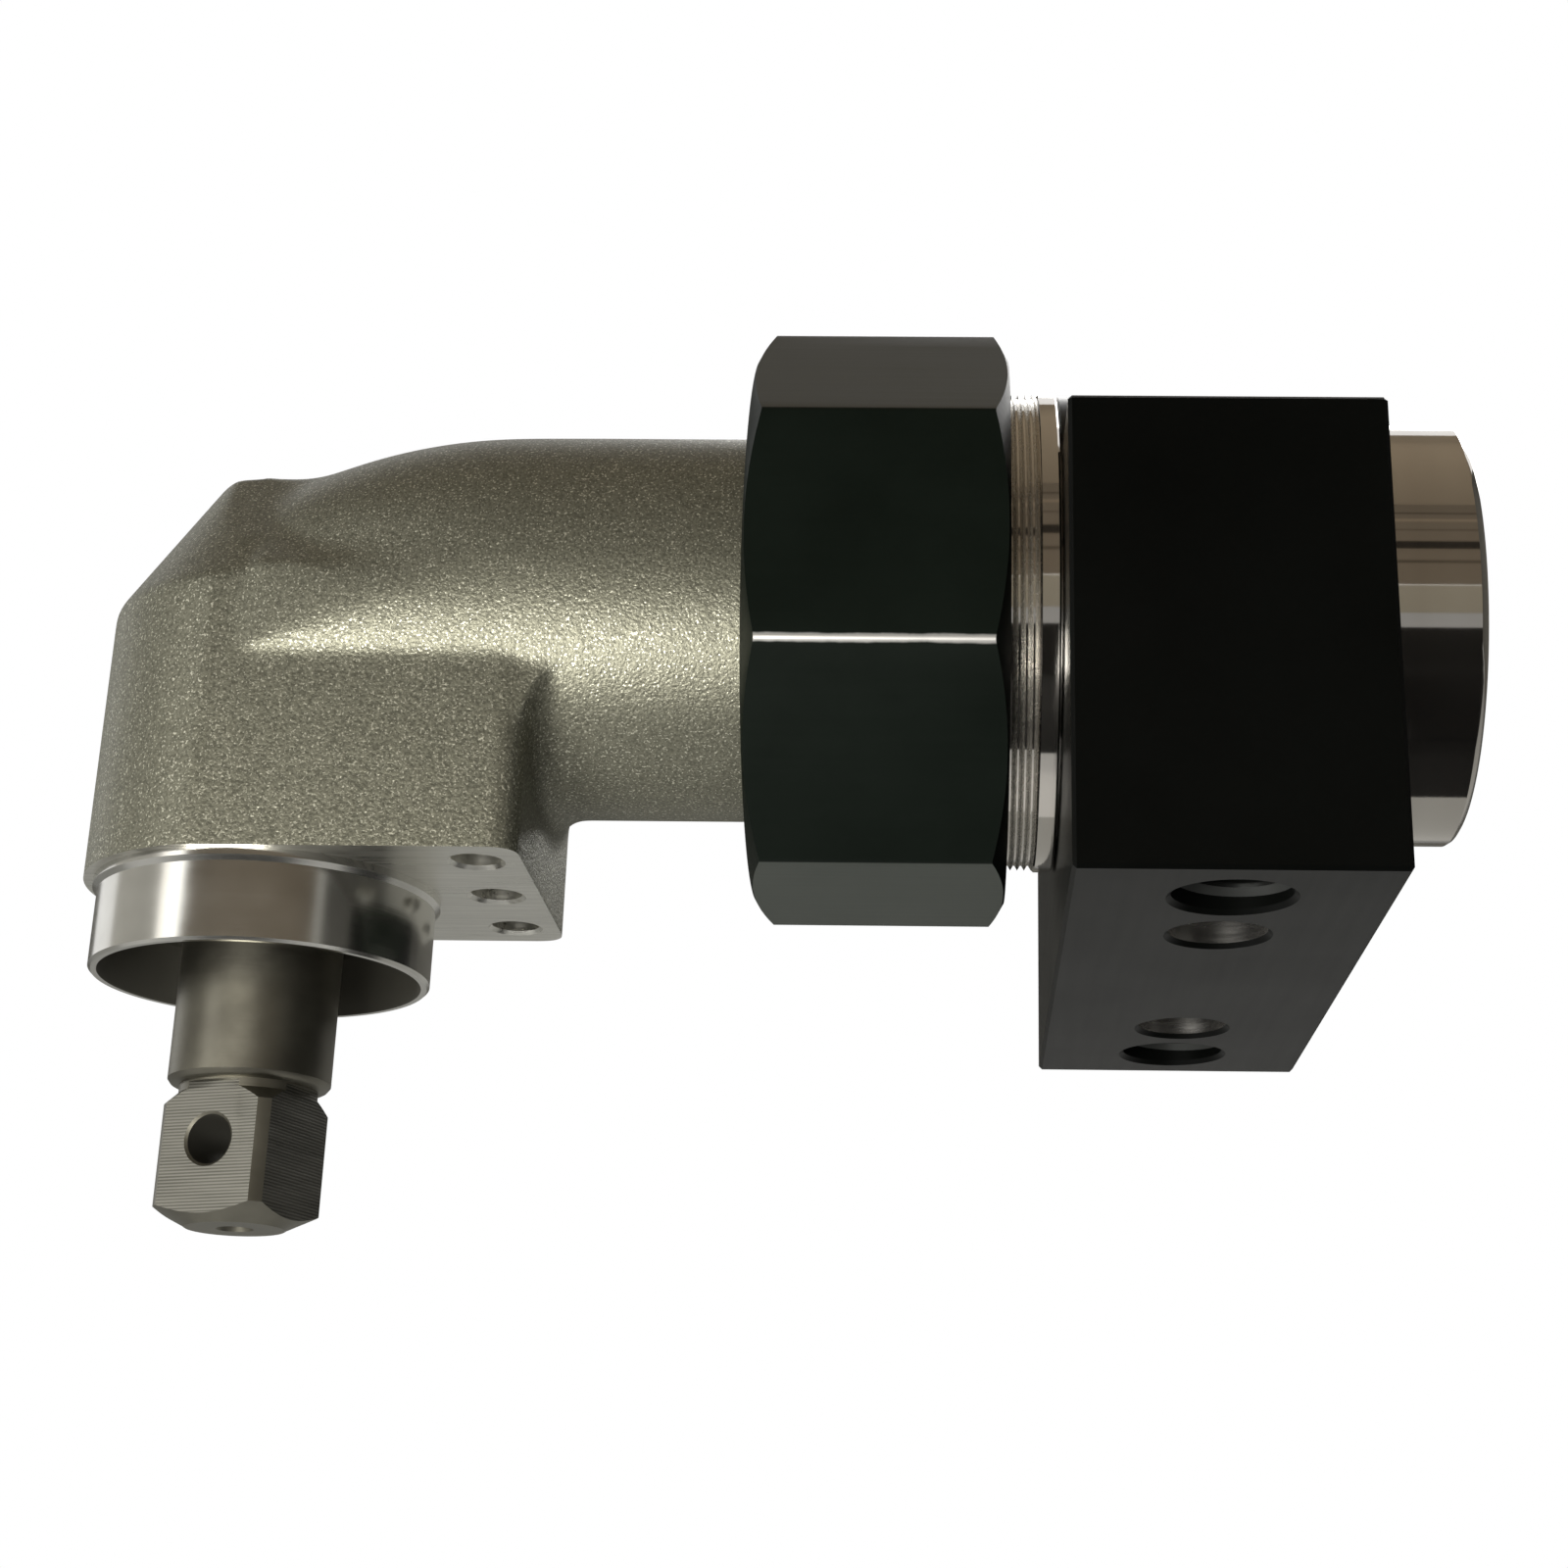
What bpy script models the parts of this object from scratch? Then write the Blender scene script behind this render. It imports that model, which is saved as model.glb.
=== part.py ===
"""Right-angle head of a nutrunner on its mounting block.

A cast steel head turns the drive through ninety degrees with a pair of bevel gears. An octagonal
union nut clamps the neck of the casting to a threaded sleeve, and the sleeve sits in a steel block
that is screwed and dowelled to a fixture.

Sizes are in millimetres and are turned into metres where a mesh is made. The world's origin is the
middle of the block's underside. X runs along the tool from the head to the motor end, the square
drive points down, and +Z is up. Pieces of the head are measured from the point where the axes of
the two bevel gears cross.
"""
import math

import bmesh
import bpy
from mathutils import Matrix, Vector

MM = 0.001

# Clearances
GAP = 0.3
BACKLASH = 0.22

# Mounting block
BLOCK_WIDTH = 31.5
BLOCK_LENGTH = 90.0
BLOCK_HEIGHT = 48.5
BLOCK_CHAMFER = 0.7
AXIS_HEIGHT = 37.0
AXIS_OFFSET = -9.5
SADDLE_RADIUS = 25.8
DOWEL_SPACING = 42.0
DOWEL_RADIUS = 5.0
DOWEL_DEPTH = 14.0
SCREW_SPACING = 70.0
SCREW_RADIUS = 5.1
SCREW_DEPTH = 20.0
HOLE_CHAMFER = 0.6

# Coupling sleeve
THREAD_RADIUS = 26.0
THREAD_LENGTH = 19.0
SHOULDER_RADIUS = 26.2
SHOULDER_WIDTH = 1.9
SLEEVE_RADIUS = 23.0
SLEEVE_BORE = 20.0
SLEEVE_REACH = 11.5

# Union nut
NUT_FLATS = 60.0
NUT_LENGTH = 26.8
NUT_LIP = 4.4
NUT_CHAMFER = 1.6
NUT_TURN = -22.6

# Head casting
NECK_RADIUS = 21.0
NECK_LENGTH = 56.0
NECK_SWELL_RADIUS = 60.0
NECK_SWELL_END = 26.0
NECK_SWELL_SHARE = 0.6
NECK_FILLET = 3.2
BELLY_SWELL_RADIUS = 115.0
BELLY_TOP_Z = 8.0
FLANGE_THICKNESS = 6.0
SPIGOT_LENGTH = 6.0
SEAL_GROOVE_START = 2.0
SEAL_GROOVE_WIDTH = 2.4
SEAL_GROOVE_DEPTH = 2.1
SEAL_THICKNESS = 1.8
HEAD_HALF_WIDTH = 18.5
HEAD_END_RADIUS = 19.0
HEAD_FACE_Z = -30.5
HEAD_WALL_X = 29.0
HEAD_CORNER_RADIUS = 2.6
CONE_FOOT_Z = -1.5
CONE_SLOPE = 1.684
FACET_FOOT_Z = 0.45
FACET_SLOPE = 1.29
FACET_TILT = 0.095
TOP_Z = 15.25
TOP_TILT = 0.068
TOP_END_X = 14.0
COLLAR_RADIUS = 17.5
COLLAR_LENGTH = 9.4
COLLAR_WALL = 1.0
COLLAR_STEP = 0.8
COLLAR_HOLLOW = 6.4
FACE_HOLE_X = 24.2
FACE_HOLE_PITCH = 13.0
FACE_SCREW_RADIUS = 2.6
FACE_PIN_RADIUS = 2.7
FACE_HOLE_DEPTH = 9.0
CHAMBER_SHOULDER = 0.6
CHAMBER_CORNER_Z = -4.0
CHAMBER_TOP_Z = 4.0
CHAMBER_TOP_RADIUS = 8.0
PINION_CHAMBER_RADIUS = 14.2
PINION_CHAMBER_END = 6.0

# Bevel gears
MODULE = 1.25
PINION_TEETH = 20
WHEEL_TEETH = 21
TOOTH_FACE = 6.0
ADDENDUM = 0.8
DEDENDUM = 1.15
PRESSURE_ANGLE = math.radians(20)
WHEEL_TOE = 8.9
WHEEL_TOE_RADIUS = 7.3
WHEEL_RIM_RADIUS = 11.6
WHEEL_RIM_WIDTH = 1.6
WHEEL_HUB_RADIUS = 10.4
PINION_TOE = 9.0
PINION_TOE_RADIUS = 6.8
PINION_CORE = 4.0
PINION_BACK = 16.6
PINION_RIM_RADIUS = 11.2
KEY_WIDTH = 2.5
KEY_LENGTH = 5.0
KEY_MIDDLE_Z = -13.0
KEY_IN_SHAFT = 1.4
KEY_IN_WHEEL = 1.1
SNAP_RING_WIDTH = 1.0
SNAP_RING_RADIUS = 6.9

# Output spindle
SPINDLE_RADIUS = 8.25
SPINDLE_END_Z = -51.3
SQUARE = 12.7
SQUARE_CORNER_RADIUS = 8.3
SQUARE_LENGTH = 12.6
SQUARE_TURN = -18.3
TIP_RADIUS = 5.1
TIP_LENGTH = 1.7
PIN_HOLE_RADIUS = 2.5
PIN_HOLE_Z = -57.5
CENTRE_HOLE_RADIUS = 1.9
NECK_GROOVE_RADIUS = 7.0
WHEEL_SEAT_RADIUS = 6.0
SNAP_SEAT_RADIUS = 5.0
JOURNAL_RADIUS = 4.0
SPINDLE_FLANGE = 1.7
SPINDLE_FLANGE_RADIUS = 10.25
SPINDLE_EDGE = 0.7
GROOVE_WIDTH = 1.0
GROOVE_SLOPE = 1.3

# Bearings
BEARING_WIDTH = 9.0
LOWER_BEARING_RADIUS = 14.9
PINION_BEARING_RADIUS = 16.0
LOWER_BEARING_TOP = -19.3
FRONT_BEARING_X = 19.0
BEARING_SPAN = 30.0
NEEDLE_BOTTOM = 6.5
NEEDLE_LENGTH = 5.0
NEEDLE_CUP_RADIUS = 6.5
CUP_WALL = 0.6
PINION_SHAFT_RADIUS = 7.5
PINION_SHAFT_COLLAR = 1.8
OUTER_SPACER_WALL = 2.0
INNER_SPACER_WALL = 2.0
LOCK_RING_LENGTH = 3.0
LOCK_RING_WALL = 2.4
LOCK_SLOT_WIDTH = 2.4
LOCK_SLOT_DEPTH = 1.4
SHAFT_NUT_CORNER = 12.0
SHAFT_NUT_LENGTH = 4.5
SEAL_RADIUS = 11.4
RETAINER_LIP = 0.9
SPANNER_CIRCLE = 13.3
SPANNER_RADIUS = 0.8

# Drive coupling
COUPLING_RADIUS = 9.5
COUPLING_GAP = 1.2
COUPLING_LENGTH = 46.0
COUPLING_GRIP = 13.0
HEX_FLATS = 12.0
HEX_DEPTH = 20.0
PIN_RADIUS = 2.0

# Roundness
FINE_STEPS = 48
PLAIN_STEPS = 32
COARSE_STEPS = 24

# How far a cutting tool runs past the face that it cuts
OVERCUT = 1.0

# Stations along the tool, measured from the crossing of the gear axes
STACK_END = FRONT_BEARING_X + BEARING_SPAN + BEARING_WIDTH + GAP
COUPLING_START = STACK_END + SHAFT_NUT_LENGTH + COUPLING_GAP
FLANGE_END = NECK_LENGTH + FLANGE_THICKNESS
SLEEVE_START = FLANGE_END + GAP
SHOULDER_START = SLEEVE_START + THREAD_LENGTH
BLOCK_START = SHOULDER_START + SHOULDER_WIDTH + GAP
SLEEVE_END = BLOCK_START + BLOCK_WIDTH + SLEEVE_REACH
NUT_START = NECK_LENGTH - GAP - NUT_LIP
NUT_BORE = THREAD_RADIUS + GAP
SNAP_SEAT_Z = -WHEEL_TOE + 0.2

# Places in the world
CROSSING = Vector((-BLOCK_WIDTH / 2 - BLOCK_START, AXIS_OFFSET, AXIS_HEIGHT))
ALONG_TOOL = (0, math.pi / 2, 0)
HALF_STEP = Matrix.Rotation(math.pi / FINE_STEPS, 3, "X")
ALONG_TOOL_HALF_STEP = (HALF_STEP @ Matrix.Rotation(math.pi / 2, 3, "Y")).to_euler()
UPRIGHT = (0, 0, 0)


def clear_scene():
    """Removes whatever the scene already holds."""
    for old in list(bpy.data.objects):
        bpy.data.objects.remove(old, do_unlink=True)


def new_collection(name):
    """Makes a collection and links it to the scene."""
    group = bpy.data.collections.new(name)
    bpy.context.scene.collection.children.link(group)
    return group


def finish(name, colour, roughness, metallic):
    """Makes a plain Principled material for one piece."""
    made = bpy.data.materials.new(name)
    made.use_nodes = True
    shader = made.node_tree.nodes["Principled BSDF"]
    shader.inputs["Base Color"].default_value = (*colour, 1.0)
    shader.inputs["Roughness"].default_value = roughness
    shader.inputs["Metallic"].default_value = metallic
    return made


STEEL = ((0.62, 0.60, 0.57), 0.28, 1.0)
CAST = ((0.42, 0.40, 0.36), 0.55, 1.0)
BLACK = ((0.02, 0.022, 0.022), 0.42, 0.6)
BRONZE = ((0.55, 0.38, 0.18), 0.40, 1.0)
RUBBER = ((0.02, 0.02, 0.02), 0.80, 0.0)


def add_object(name, mesh, look, group):
    """Puts a mesh in the scene as a named object with its own material."""
    piece = bpy.data.objects.new(name, mesh)
    group.objects.link(piece)
    if look is not None:
        mesh.materials.append(finish(name, *look))
    return piece


def seat(piece, parent, place=(0, 0, 0), turn=UPRIGHT):
    """Parents a piece to an axis and places it, in millimetres from that axis."""
    piece.parent = parent
    piece.location = Vector(place) * MM
    piece.rotation_euler = turn
    return piece


def axis_empty(name, place, group):
    """Makes the empty that marks a joint's axis."""
    marker = bpy.data.objects.new(name, None)
    marker.empty_display_size = 0.01
    marker.location = Vector(place) * MM
    group.objects.link(marker)
    return marker


def shade_round(mesh):
    """Shades a turned mesh smooth and keeps its true edges sharp."""
    mesh.shade_smooth()
    mesh.set_sharp_from_angle(angle=math.radians(35))


def turned(name, profile, look, group, steps=PLAIN_STEPS, closed=False):
    """Turns a profile of (radius, height) about its own Z, listed down the outer side."""
    mesh = bpy.data.meshes.new(name)
    points = [(radius * MM, 0, height * MM) for radius, height in profile]
    edges = [(i, i + 1) for i in range(len(points) - 1)]
    if closed:
        edges.append((len(points) - 1, 0))
    mesh.from_pydata(points, edges, [])
    piece = add_object(name, mesh, look, group)
    screw = piece.modifiers.new("Turn", "SCREW")
    screw.angle = math.tau
    screw.axis = "Z"
    screw.steps = steps
    screw.render_steps = steps
    screw.use_merge_vertices = True
    screw.merge_threshold = 0.00001
    screw.use_smooth_shade = True
    return piece


def ring_profile(inner, outer, low, high, edge=0.0):
    """Lists a ring's section down its outer side and up its bore, with chamfered edges."""
    if edge <= 0:
        return [(outer, high), (outer, low), (inner, low), (inner, high)]
    return [
        (outer - edge, high), (outer, high - edge), (outer, low + edge), (outer - edge, low),
        (inner + edge, low), (inner, low + edge), (inner, high - edge), (inner + edge, high),
    ]


def rod_profile(radius, low, high, edge=0.0):
    """Lists a solid rod's section down its outer side, with chamfered ends."""
    if edge <= 0:
        return [(0, high), (radius, high), (radius, low), (0, low)]
    return [
        (0, high), (radius - edge, high), (radius, high - edge),
        (radius, low + edge), (radius - edge, low), (0, low),
    ]


def ring(name, inner, outer, low, high, look, group, steps=PLAIN_STEPS, edge=0.0):
    """Turns a plain or chamfered ring."""
    profile = ring_profile(inner, outer, low, high, edge)
    return turned(name, profile, look, group, steps, closed=True)


def rod(name, radius, low, high, look, group, steps=PLAIN_STEPS, edge=0.0):
    """Turns a plain or chamfered rod."""
    return turned(name, rod_profile(radius, low, high, edge), look, group, steps)


def prism(name, outline, low, high, look, group):
    """Fills a flat outline and gives it thickness along its own Z."""
    curve = bpy.data.curves.new(name, "CURVE")
    curve.dimensions = "2D"
    curve.fill_mode = "BOTH"
    curve.extrude = (high - low) / 2 * MM
    spline = curve.splines.new("POLY")
    spline.points.add(len(outline) - 1)
    for point, (x, y) in zip(spline.points, outline):
        point.co = (x * MM, y * MM, 0, 1)
    spline.use_cyclic_u = True
    guide = bpy.data.objects.new(name + "_outline", curve)
    group.objects.link(guide)
    bpy.context.view_layer.update()
    graph = bpy.context.evaluated_depsgraph_get()
    mesh = bpy.data.meshes.new_from_object(guide.evaluated_get(graph))
    bpy.data.objects.remove(guide, do_unlink=True)
    form = bmesh.new()
    form.from_mesh(mesh)
    bmesh.ops.remove_doubles(form, verts=form.verts, dist=0.000001)
    bmesh.ops.translate(form, verts=form.verts, vec=(0, 0, (low + high) / 2 * MM))
    bmesh.ops.recalc_face_normals(form, faces=form.faces)
    form.to_mesh(mesh)
    form.free()
    mesh.name = name
    return add_object(name, mesh, look, group)


def loft(name, rings, look, group, closed=False):
    """Skins a row of rings that all have the same number of points."""
    form = bmesh.new()
    rows = [[form.verts.new(Vector(point) * MM) for point in row] for row in rings]
    count = len(rows[0])
    pairs = list(zip(rows, rows[1:]))
    if closed:
        pairs.append((rows[-1], rows[0]))
    for first, second in pairs:
        for i in range(count):
            j = (i + 1) % count
            form.faces.new((first[i], first[j], second[j], second[i]))
    if not closed:
        form.faces.new(rows[0])
        form.faces.new(rows[-1])
    bmesh.ops.recalc_face_normals(form, faces=form.faces)
    mesh = bpy.data.meshes.new(name)
    form.to_mesh(mesh)
    form.free()
    return add_object(name, mesh, look, group)


def boolean(piece, other, operation):
    """Cuts, joins or trims a piece with another solid, which is kept as a hidden tool."""
    step = piece.modifiers.new(other.name, "BOOLEAN")
    step.operation = operation
    step.solver = "EXACT"
    step.object = other
    other.hide_render = True
    other.display_type = "WIRE"


def cut(piece, *tools):
    """Takes each tool out of a piece."""
    for tool in tools:
        boolean(piece, tool, "DIFFERENCE")


def join(piece, *tools):
    """Fuses each tool to a piece."""
    for tool in tools:
        boolean(piece, tool, "UNION")


def keep_common(piece, *tools):
    """Keeps only what a piece shares with each tool."""
    for tool in tools:
        boolean(piece, tool, "INTERSECT")


def soften(piece, width, segments=1):
    """Bevels the true edges of a piece."""
    step = piece.modifiers.new("Edges", "BEVEL")
    step.width = width * MM
    step.segments = segments
    step.limit_method = "ANGLE"
    step.angle_limit = math.radians(35)
    step.use_clamp_overlap = True


def arc(centre_x, centre_y, radius, start, end, steps):
    """Lists points along an arc, with its angles in degrees."""
    points = []
    for i in range(steps + 1):
        angle = math.radians(start + (end - start) * i / steps)
        points.append((centre_x + radius * math.cos(angle), centre_y + radius * math.sin(angle)))
    return points


class BevelGear:
    """Tooth geometry of one straight bevel gear whose cone tip is at the origin."""

    def __init__(self, teeth, mate):
        self.teeth = teeth
        self.pitch_angle = math.atan2(teeth, mate)
        self.cone = MODULE * math.hypot(teeth, mate) / 2

    def tooth_ring(self, inward, phase):
        """Lists the four corners of every tooth, on the section that lies inward of the heel."""
        reach = self.cone - inward
        scale = reach / self.cone
        points = []
        for tooth in range(self.teeth):
            middle = math.tau * (tooth + phase) / self.teeth
            for side, height in ((-1, -DEDENDUM), (-1, ADDENDUM), (1, ADDENDUM), (1, -DEDENDUM)):
                offset = height * MODULE * scale
                radius = reach * math.sin(self.pitch_angle) + offset * math.cos(self.pitch_angle)
                along = reach * math.cos(self.pitch_angle) - offset * math.sin(self.pitch_angle)
                flank = math.pi * MODULE / 4 - height * MODULE * math.tan(PRESSURE_ANGLE)
                width = (flank - BACKLASH) * scale
                angle = middle + side * width / radius
                points.append((radius * math.cos(angle), radius * math.sin(angle), along))
        return points

    def level_ring(self, radius, height, phase):
        """Lists a plain ring with its points beside the tooth corners."""
        corners = self.tooth_ring(0, phase)
        points = []
        for x, y, _ in corners:
            angle = math.atan2(y, x)
            points.append((radius * math.cos(angle), radius * math.sin(angle), height))
        return points


def mounting_block(parts, tools, mount):
    """Block with a round saddle over the sleeve, dowel holes and threaded holes underneath."""
    half = BLOCK_LENGTH / 2
    rise = BLOCK_HEIGHT - AXIS_HEIGHT
    start = math.degrees(math.asin(rise / SADDLE_RADIUS))
    outline = [(-half, 0), (half, 0), (half, BLOCK_HEIGHT)]
    outline += arc(AXIS_OFFSET, AXIS_HEIGHT, SADDLE_RADIUS, start, 180 - start, 18)
    outline += [(-half, BLOCK_HEIGHT)]
    block = prism("mounting_block", outline, -BLOCK_WIDTH / 2, BLOCK_WIDTH / 2, BLACK, parts)
    seat(block, mount, (0, 0, 0), (math.pi / 2, 0, math.pi / 2))
    soften(block, BLOCK_CHAMFER)
    axis = (-BLOCK_WIDTH / 2, AXIS_OFFSET, AXIS_HEIGHT)
    bore = rod("block_bore", SLEEVE_RADIUS + GAP, -1, BLOCK_WIDTH + 1, None, tools, FINE_STEPS)
    seat(bore, mount, axis, ALONG_TOOL)
    cut(block, bore)
    rows = (
        ("dowel_hole", DOWEL_RADIUS, DOWEL_DEPTH, DOWEL_SPACING),
        ("screw_hole", SCREW_RADIUS, SCREW_DEPTH, SCREW_SPACING),
    )
    for name, radius, depth, spacing in rows:
        for side in (-1, 1):
            profile = [
                (0, depth + radius / 2), (radius, depth), (radius, HOLE_CHAMFER),
                (radius + HOLE_CHAMFER, 0), (radius + HOLE_CHAMFER, -OVERCUT), (0, -OVERCUT),
            ]
            hole = turned(f"{name}_{side}", profile, None, tools, COARSE_STEPS)
            seat(hole, mount, (0, side * spacing / 2, 0))
            cut(block, hole)
    return block


def coupling_sleeve(parts, mount_axis):
    """Threaded sleeve that the union nut screws on to, and that stands out of the block."""
    edge = 0.8
    lead = 1.0
    profile = [
        (SLEEVE_RADIUS - edge, SLEEVE_END), (SLEEVE_RADIUS, SLEEVE_END - edge),
        (SLEEVE_RADIUS, BLOCK_START - GAP), (SHOULDER_RADIUS, BLOCK_START - GAP),
        (SHOULDER_RADIUS, SHOULDER_START), (THREAD_RADIUS, SHOULDER_START),
        (THREAD_RADIUS, SLEEVE_START + lead), (THREAD_RADIUS - lead, SLEEVE_START),
        (SLEEVE_BORE, SLEEVE_START), (SLEEVE_BORE, SLEEVE_END - edge),
        (SLEEVE_BORE + edge, SLEEVE_END),
    ]
    sleeve = turned("coupling_sleeve", profile, STEEL, parts, FINE_STEPS, closed=True)
    return seat(sleeve, mount_axis, (0, 0, 0), ALONG_TOOL)


def union_nut(parts, tools, nut_axis):
    """Octagonal nut with an inner lip that pulls the neck flange against the sleeve."""
    corner = NUT_FLATS / 2 / math.cos(math.pi / 8)
    outline = arc(0, 0, corner, NUT_TURN, NUT_TURN + 315, 7)
    nut = prism("union_nut", outline, 0, NUT_LENGTH, BLACK, parts)
    seat(nut, nut_axis, (0, 0, 0), ALONG_TOOL)
    flat = NUT_FLATS / 2
    over = 1.0
    inset = (corner - flat) * 1.15
    slope = inset / NUT_CHAMFER
    widest = corner + over * slope
    tip = corner - inset - over * slope
    rounding = turned("nut_rounding", [
        (0, NUT_LENGTH + over), (tip, NUT_LENGTH + over),
        (widest, NUT_LENGTH - NUT_CHAMFER - over), (widest, NUT_CHAMFER + over),
        (tip, -over), (0, -over),
    ], None, tools, FINE_STEPS)
    lip_bore = rod("nut_lip_bore", NECK_RADIUS + GAP, -1, NUT_LENGTH + 1, None, tools, FINE_STEPS)
    thread_edge = 0.8
    thread_bore = turned("nut_thread_bore", [
        (0, NUT_LENGTH + 1), (NUT_BORE + thread_edge, NUT_LENGTH + 1),
        (NUT_BORE + thread_edge, NUT_LENGTH), (NUT_BORE, NUT_LENGTH - thread_edge),
        (NUT_BORE, NUT_LIP), (0, NUT_LIP),
    ], None, tools, FINE_STEPS)
    for tool in (rounding, lip_bore, thread_bore):
        seat(tool, nut_axis, (0, 0, 0), ALONG_TOOL)
    keep_common(nut, rounding)
    cut(nut, lip_bore, thread_bore)
    return nut


def head_outlines(tools, head):
    """Makes the coned nose, the square back of the gear case and the forms that trim them."""
    over = 3.0
    low = HEAD_FACE_Z - over
    high = TOP_Z + over
    reach = HEAD_WALL_X + over
    nose = turned("head_casing", [
        (0, high), (HEAD_END_RADIUS - (high - CONE_FOOT_Z) / CONE_SLOPE, high),
        (HEAD_END_RADIUS, CONE_FOOT_Z), (HEAD_END_RADIUS, low), (0, low),
    ], None, tools, FINE_STEPS)
    seat(nose, head)
    slab = prism("side_walls", [
        (-reach, -HEAD_HALF_WIDTH), (reach, -HEAD_HALF_WIDTH),
        (reach, HEAD_HALF_WIDTH), (-reach, HEAD_HALF_WIDTH),
    ], low - over, high + over, None, tools)
    seat(slab, head)
    right = HEAD_WALL_X - HEAD_CORNER_RADIUS
    wide = HEAD_HALF_WIDTH - HEAD_CORNER_RADIUS
    plan = [(0, HEAD_HALF_WIDTH), (0, -HEAD_HALF_WIDTH)]
    plan += arc(right, -wide, HEAD_CORNER_RADIUS, 270, 360, 5)
    plan += arc(right, wide, HEAD_CORNER_RADIUS, 0, 90, 5)
    back = prism("case_back", plan, low + OVERCUT, high + OVERCUT, None, tools)
    seat(back, head)
    slope = (TOP_Z + TOP_TILT * TOP_END_X) / (HEAD_WALL_X - TOP_END_X)
    side = prism("head_side", [
        (-reach, low - over), (reach, low - over), (reach, -over * slope),
        (TOP_END_X, TOP_Z + TOP_TILT * TOP_END_X), (-reach, TOP_Z - TOP_TILT * reach),
    ], -reach, reach, None, tools)
    seat(side, head, (0, 0, 0), (math.pi / 2, 0, 0))
    return nose, slab, back, side


def facet_tool(side, tools, head):
    """Flat that slopes up and inward from one side wall of the gear case."""
    reach = HEAD_WALL_X * 2
    tool = prism(f"facet_{side}", [
        (-reach, -reach), (reach, -reach), (reach, reach), (-reach, reach),
    ], 0, reach, None, tools)
    normal = Vector((-FACET_TILT, side * FACET_SLOPE, 1))
    turn = normal.to_track_quat("Z", "X").to_euler()
    return seat(tool, head, (0, side * HEAD_HALF_WIDTH, FACET_FOOT_Z), turn)


def neck_belly(tools, head):
    """Lower half of the neck, which runs on into the side walls of the gear case."""
    skin = 0.05
    end = NECK_SWELL_END + OVERCUT
    belly = rod("neck_belly", NECK_RADIUS - skin, 0, end, None, tools, FINE_STEPS)
    seat(belly, head, (0, 0, 0), ALONG_TOOL_HALF_STEP)
    steps = 8
    walls = []
    for i in range(steps + 1):
        x = end * i / steps
        back = NECK_SWELL_END - x
        drop = BELLY_SWELL_RADIUS - math.sqrt(BELLY_SWELL_RADIUS ** 2 - back ** 2)
        walls.append((x, NECK_RADIUS - drop))
    plan = walls + [(x, -y) for x, y in reversed(walls)]
    trim = prism("belly_plan", plan, HEAD_FACE_Z / 2, BELLY_TOP_Z, None, tools)
    seat(trim, head)
    keep_common(belly, trim)
    return belly


def neck_form(tools, head):
    """Turned neck that swells out of the gear case, with its flange and centring spigot."""
    steps = 8
    profile = [(0, NECK_SWELL_END - NECK_SWELL_RADIUS * NECK_SWELL_SHARE)]
    for i in range(steps + 1):
        back = NECK_SWELL_RADIUS * NECK_SWELL_SHARE * (1 - i / steps)
        drop = NECK_SWELL_RADIUS - math.sqrt(NECK_SWELL_RADIUS ** 2 - back ** 2)
        profile.append((NECK_RADIUS - drop, NECK_SWELL_END - back))
    spigot = SLEEVE_BORE - GAP
    groove = FLANGE_END + SEAL_GROOVE_START
    spigot_end = FLANGE_END + SPIGOT_LENGTH
    profile += [
        (NECK_RADIUS, NECK_LENGTH), (THREAD_RADIUS - GAP, NECK_LENGTH),
        (THREAD_RADIUS - GAP, FLANGE_END), (spigot, FLANGE_END),
        (spigot, groove), (spigot - SEAL_GROOVE_DEPTH, groove),
        (spigot - SEAL_GROOVE_DEPTH, groove + SEAL_GROOVE_WIDTH),
        (spigot, groove + SEAL_GROOVE_WIDTH), (spigot, spigot_end), (0, spigot_end),
    ]
    profile.reverse()
    neck = turned("neck_form", profile, None, tools, FINE_STEPS)
    return seat(neck, head, (0, 0, 0), ALONG_TOOL)


def neck_fillet(tools, head):
    """Fillet between the end wall of the gear case and the underside of the neck."""
    sink = 0.05
    outer = NECK_RADIUS + NECK_FILLET - sink
    end = HEAD_WALL_X + NECK_FILLET - sink
    profile = arc(outer, end, NECK_FILLET, 180, 270, 4)
    profile += [
        (outer, HEAD_WALL_X - OVERCUT), (NECK_RADIUS - OVERCUT, HEAD_WALL_X - OVERCUT),
        (NECK_RADIUS - OVERCUT, end),
    ]
    fillet = turned("neck_fillet", profile, None, tools, FINE_STEPS, closed=True)
    seat(fillet, head, (0, 0, 0), ALONG_TOOL_HALF_STEP)
    half = HEAD_HALF_WIDTH - HEAD_CORNER_RADIUS / 2
    low = HEAD_WALL_X - OVERCUT * 2
    high = end + OVERCUT
    trim = prism("fillet_trim", [
        (low, -half), (high, -half), (high, half), (low, half),
    ], HEAD_FACE_Z, 0, None, tools)
    seat(trim, head)
    keep_common(fillet, trim)
    return fillet


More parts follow.
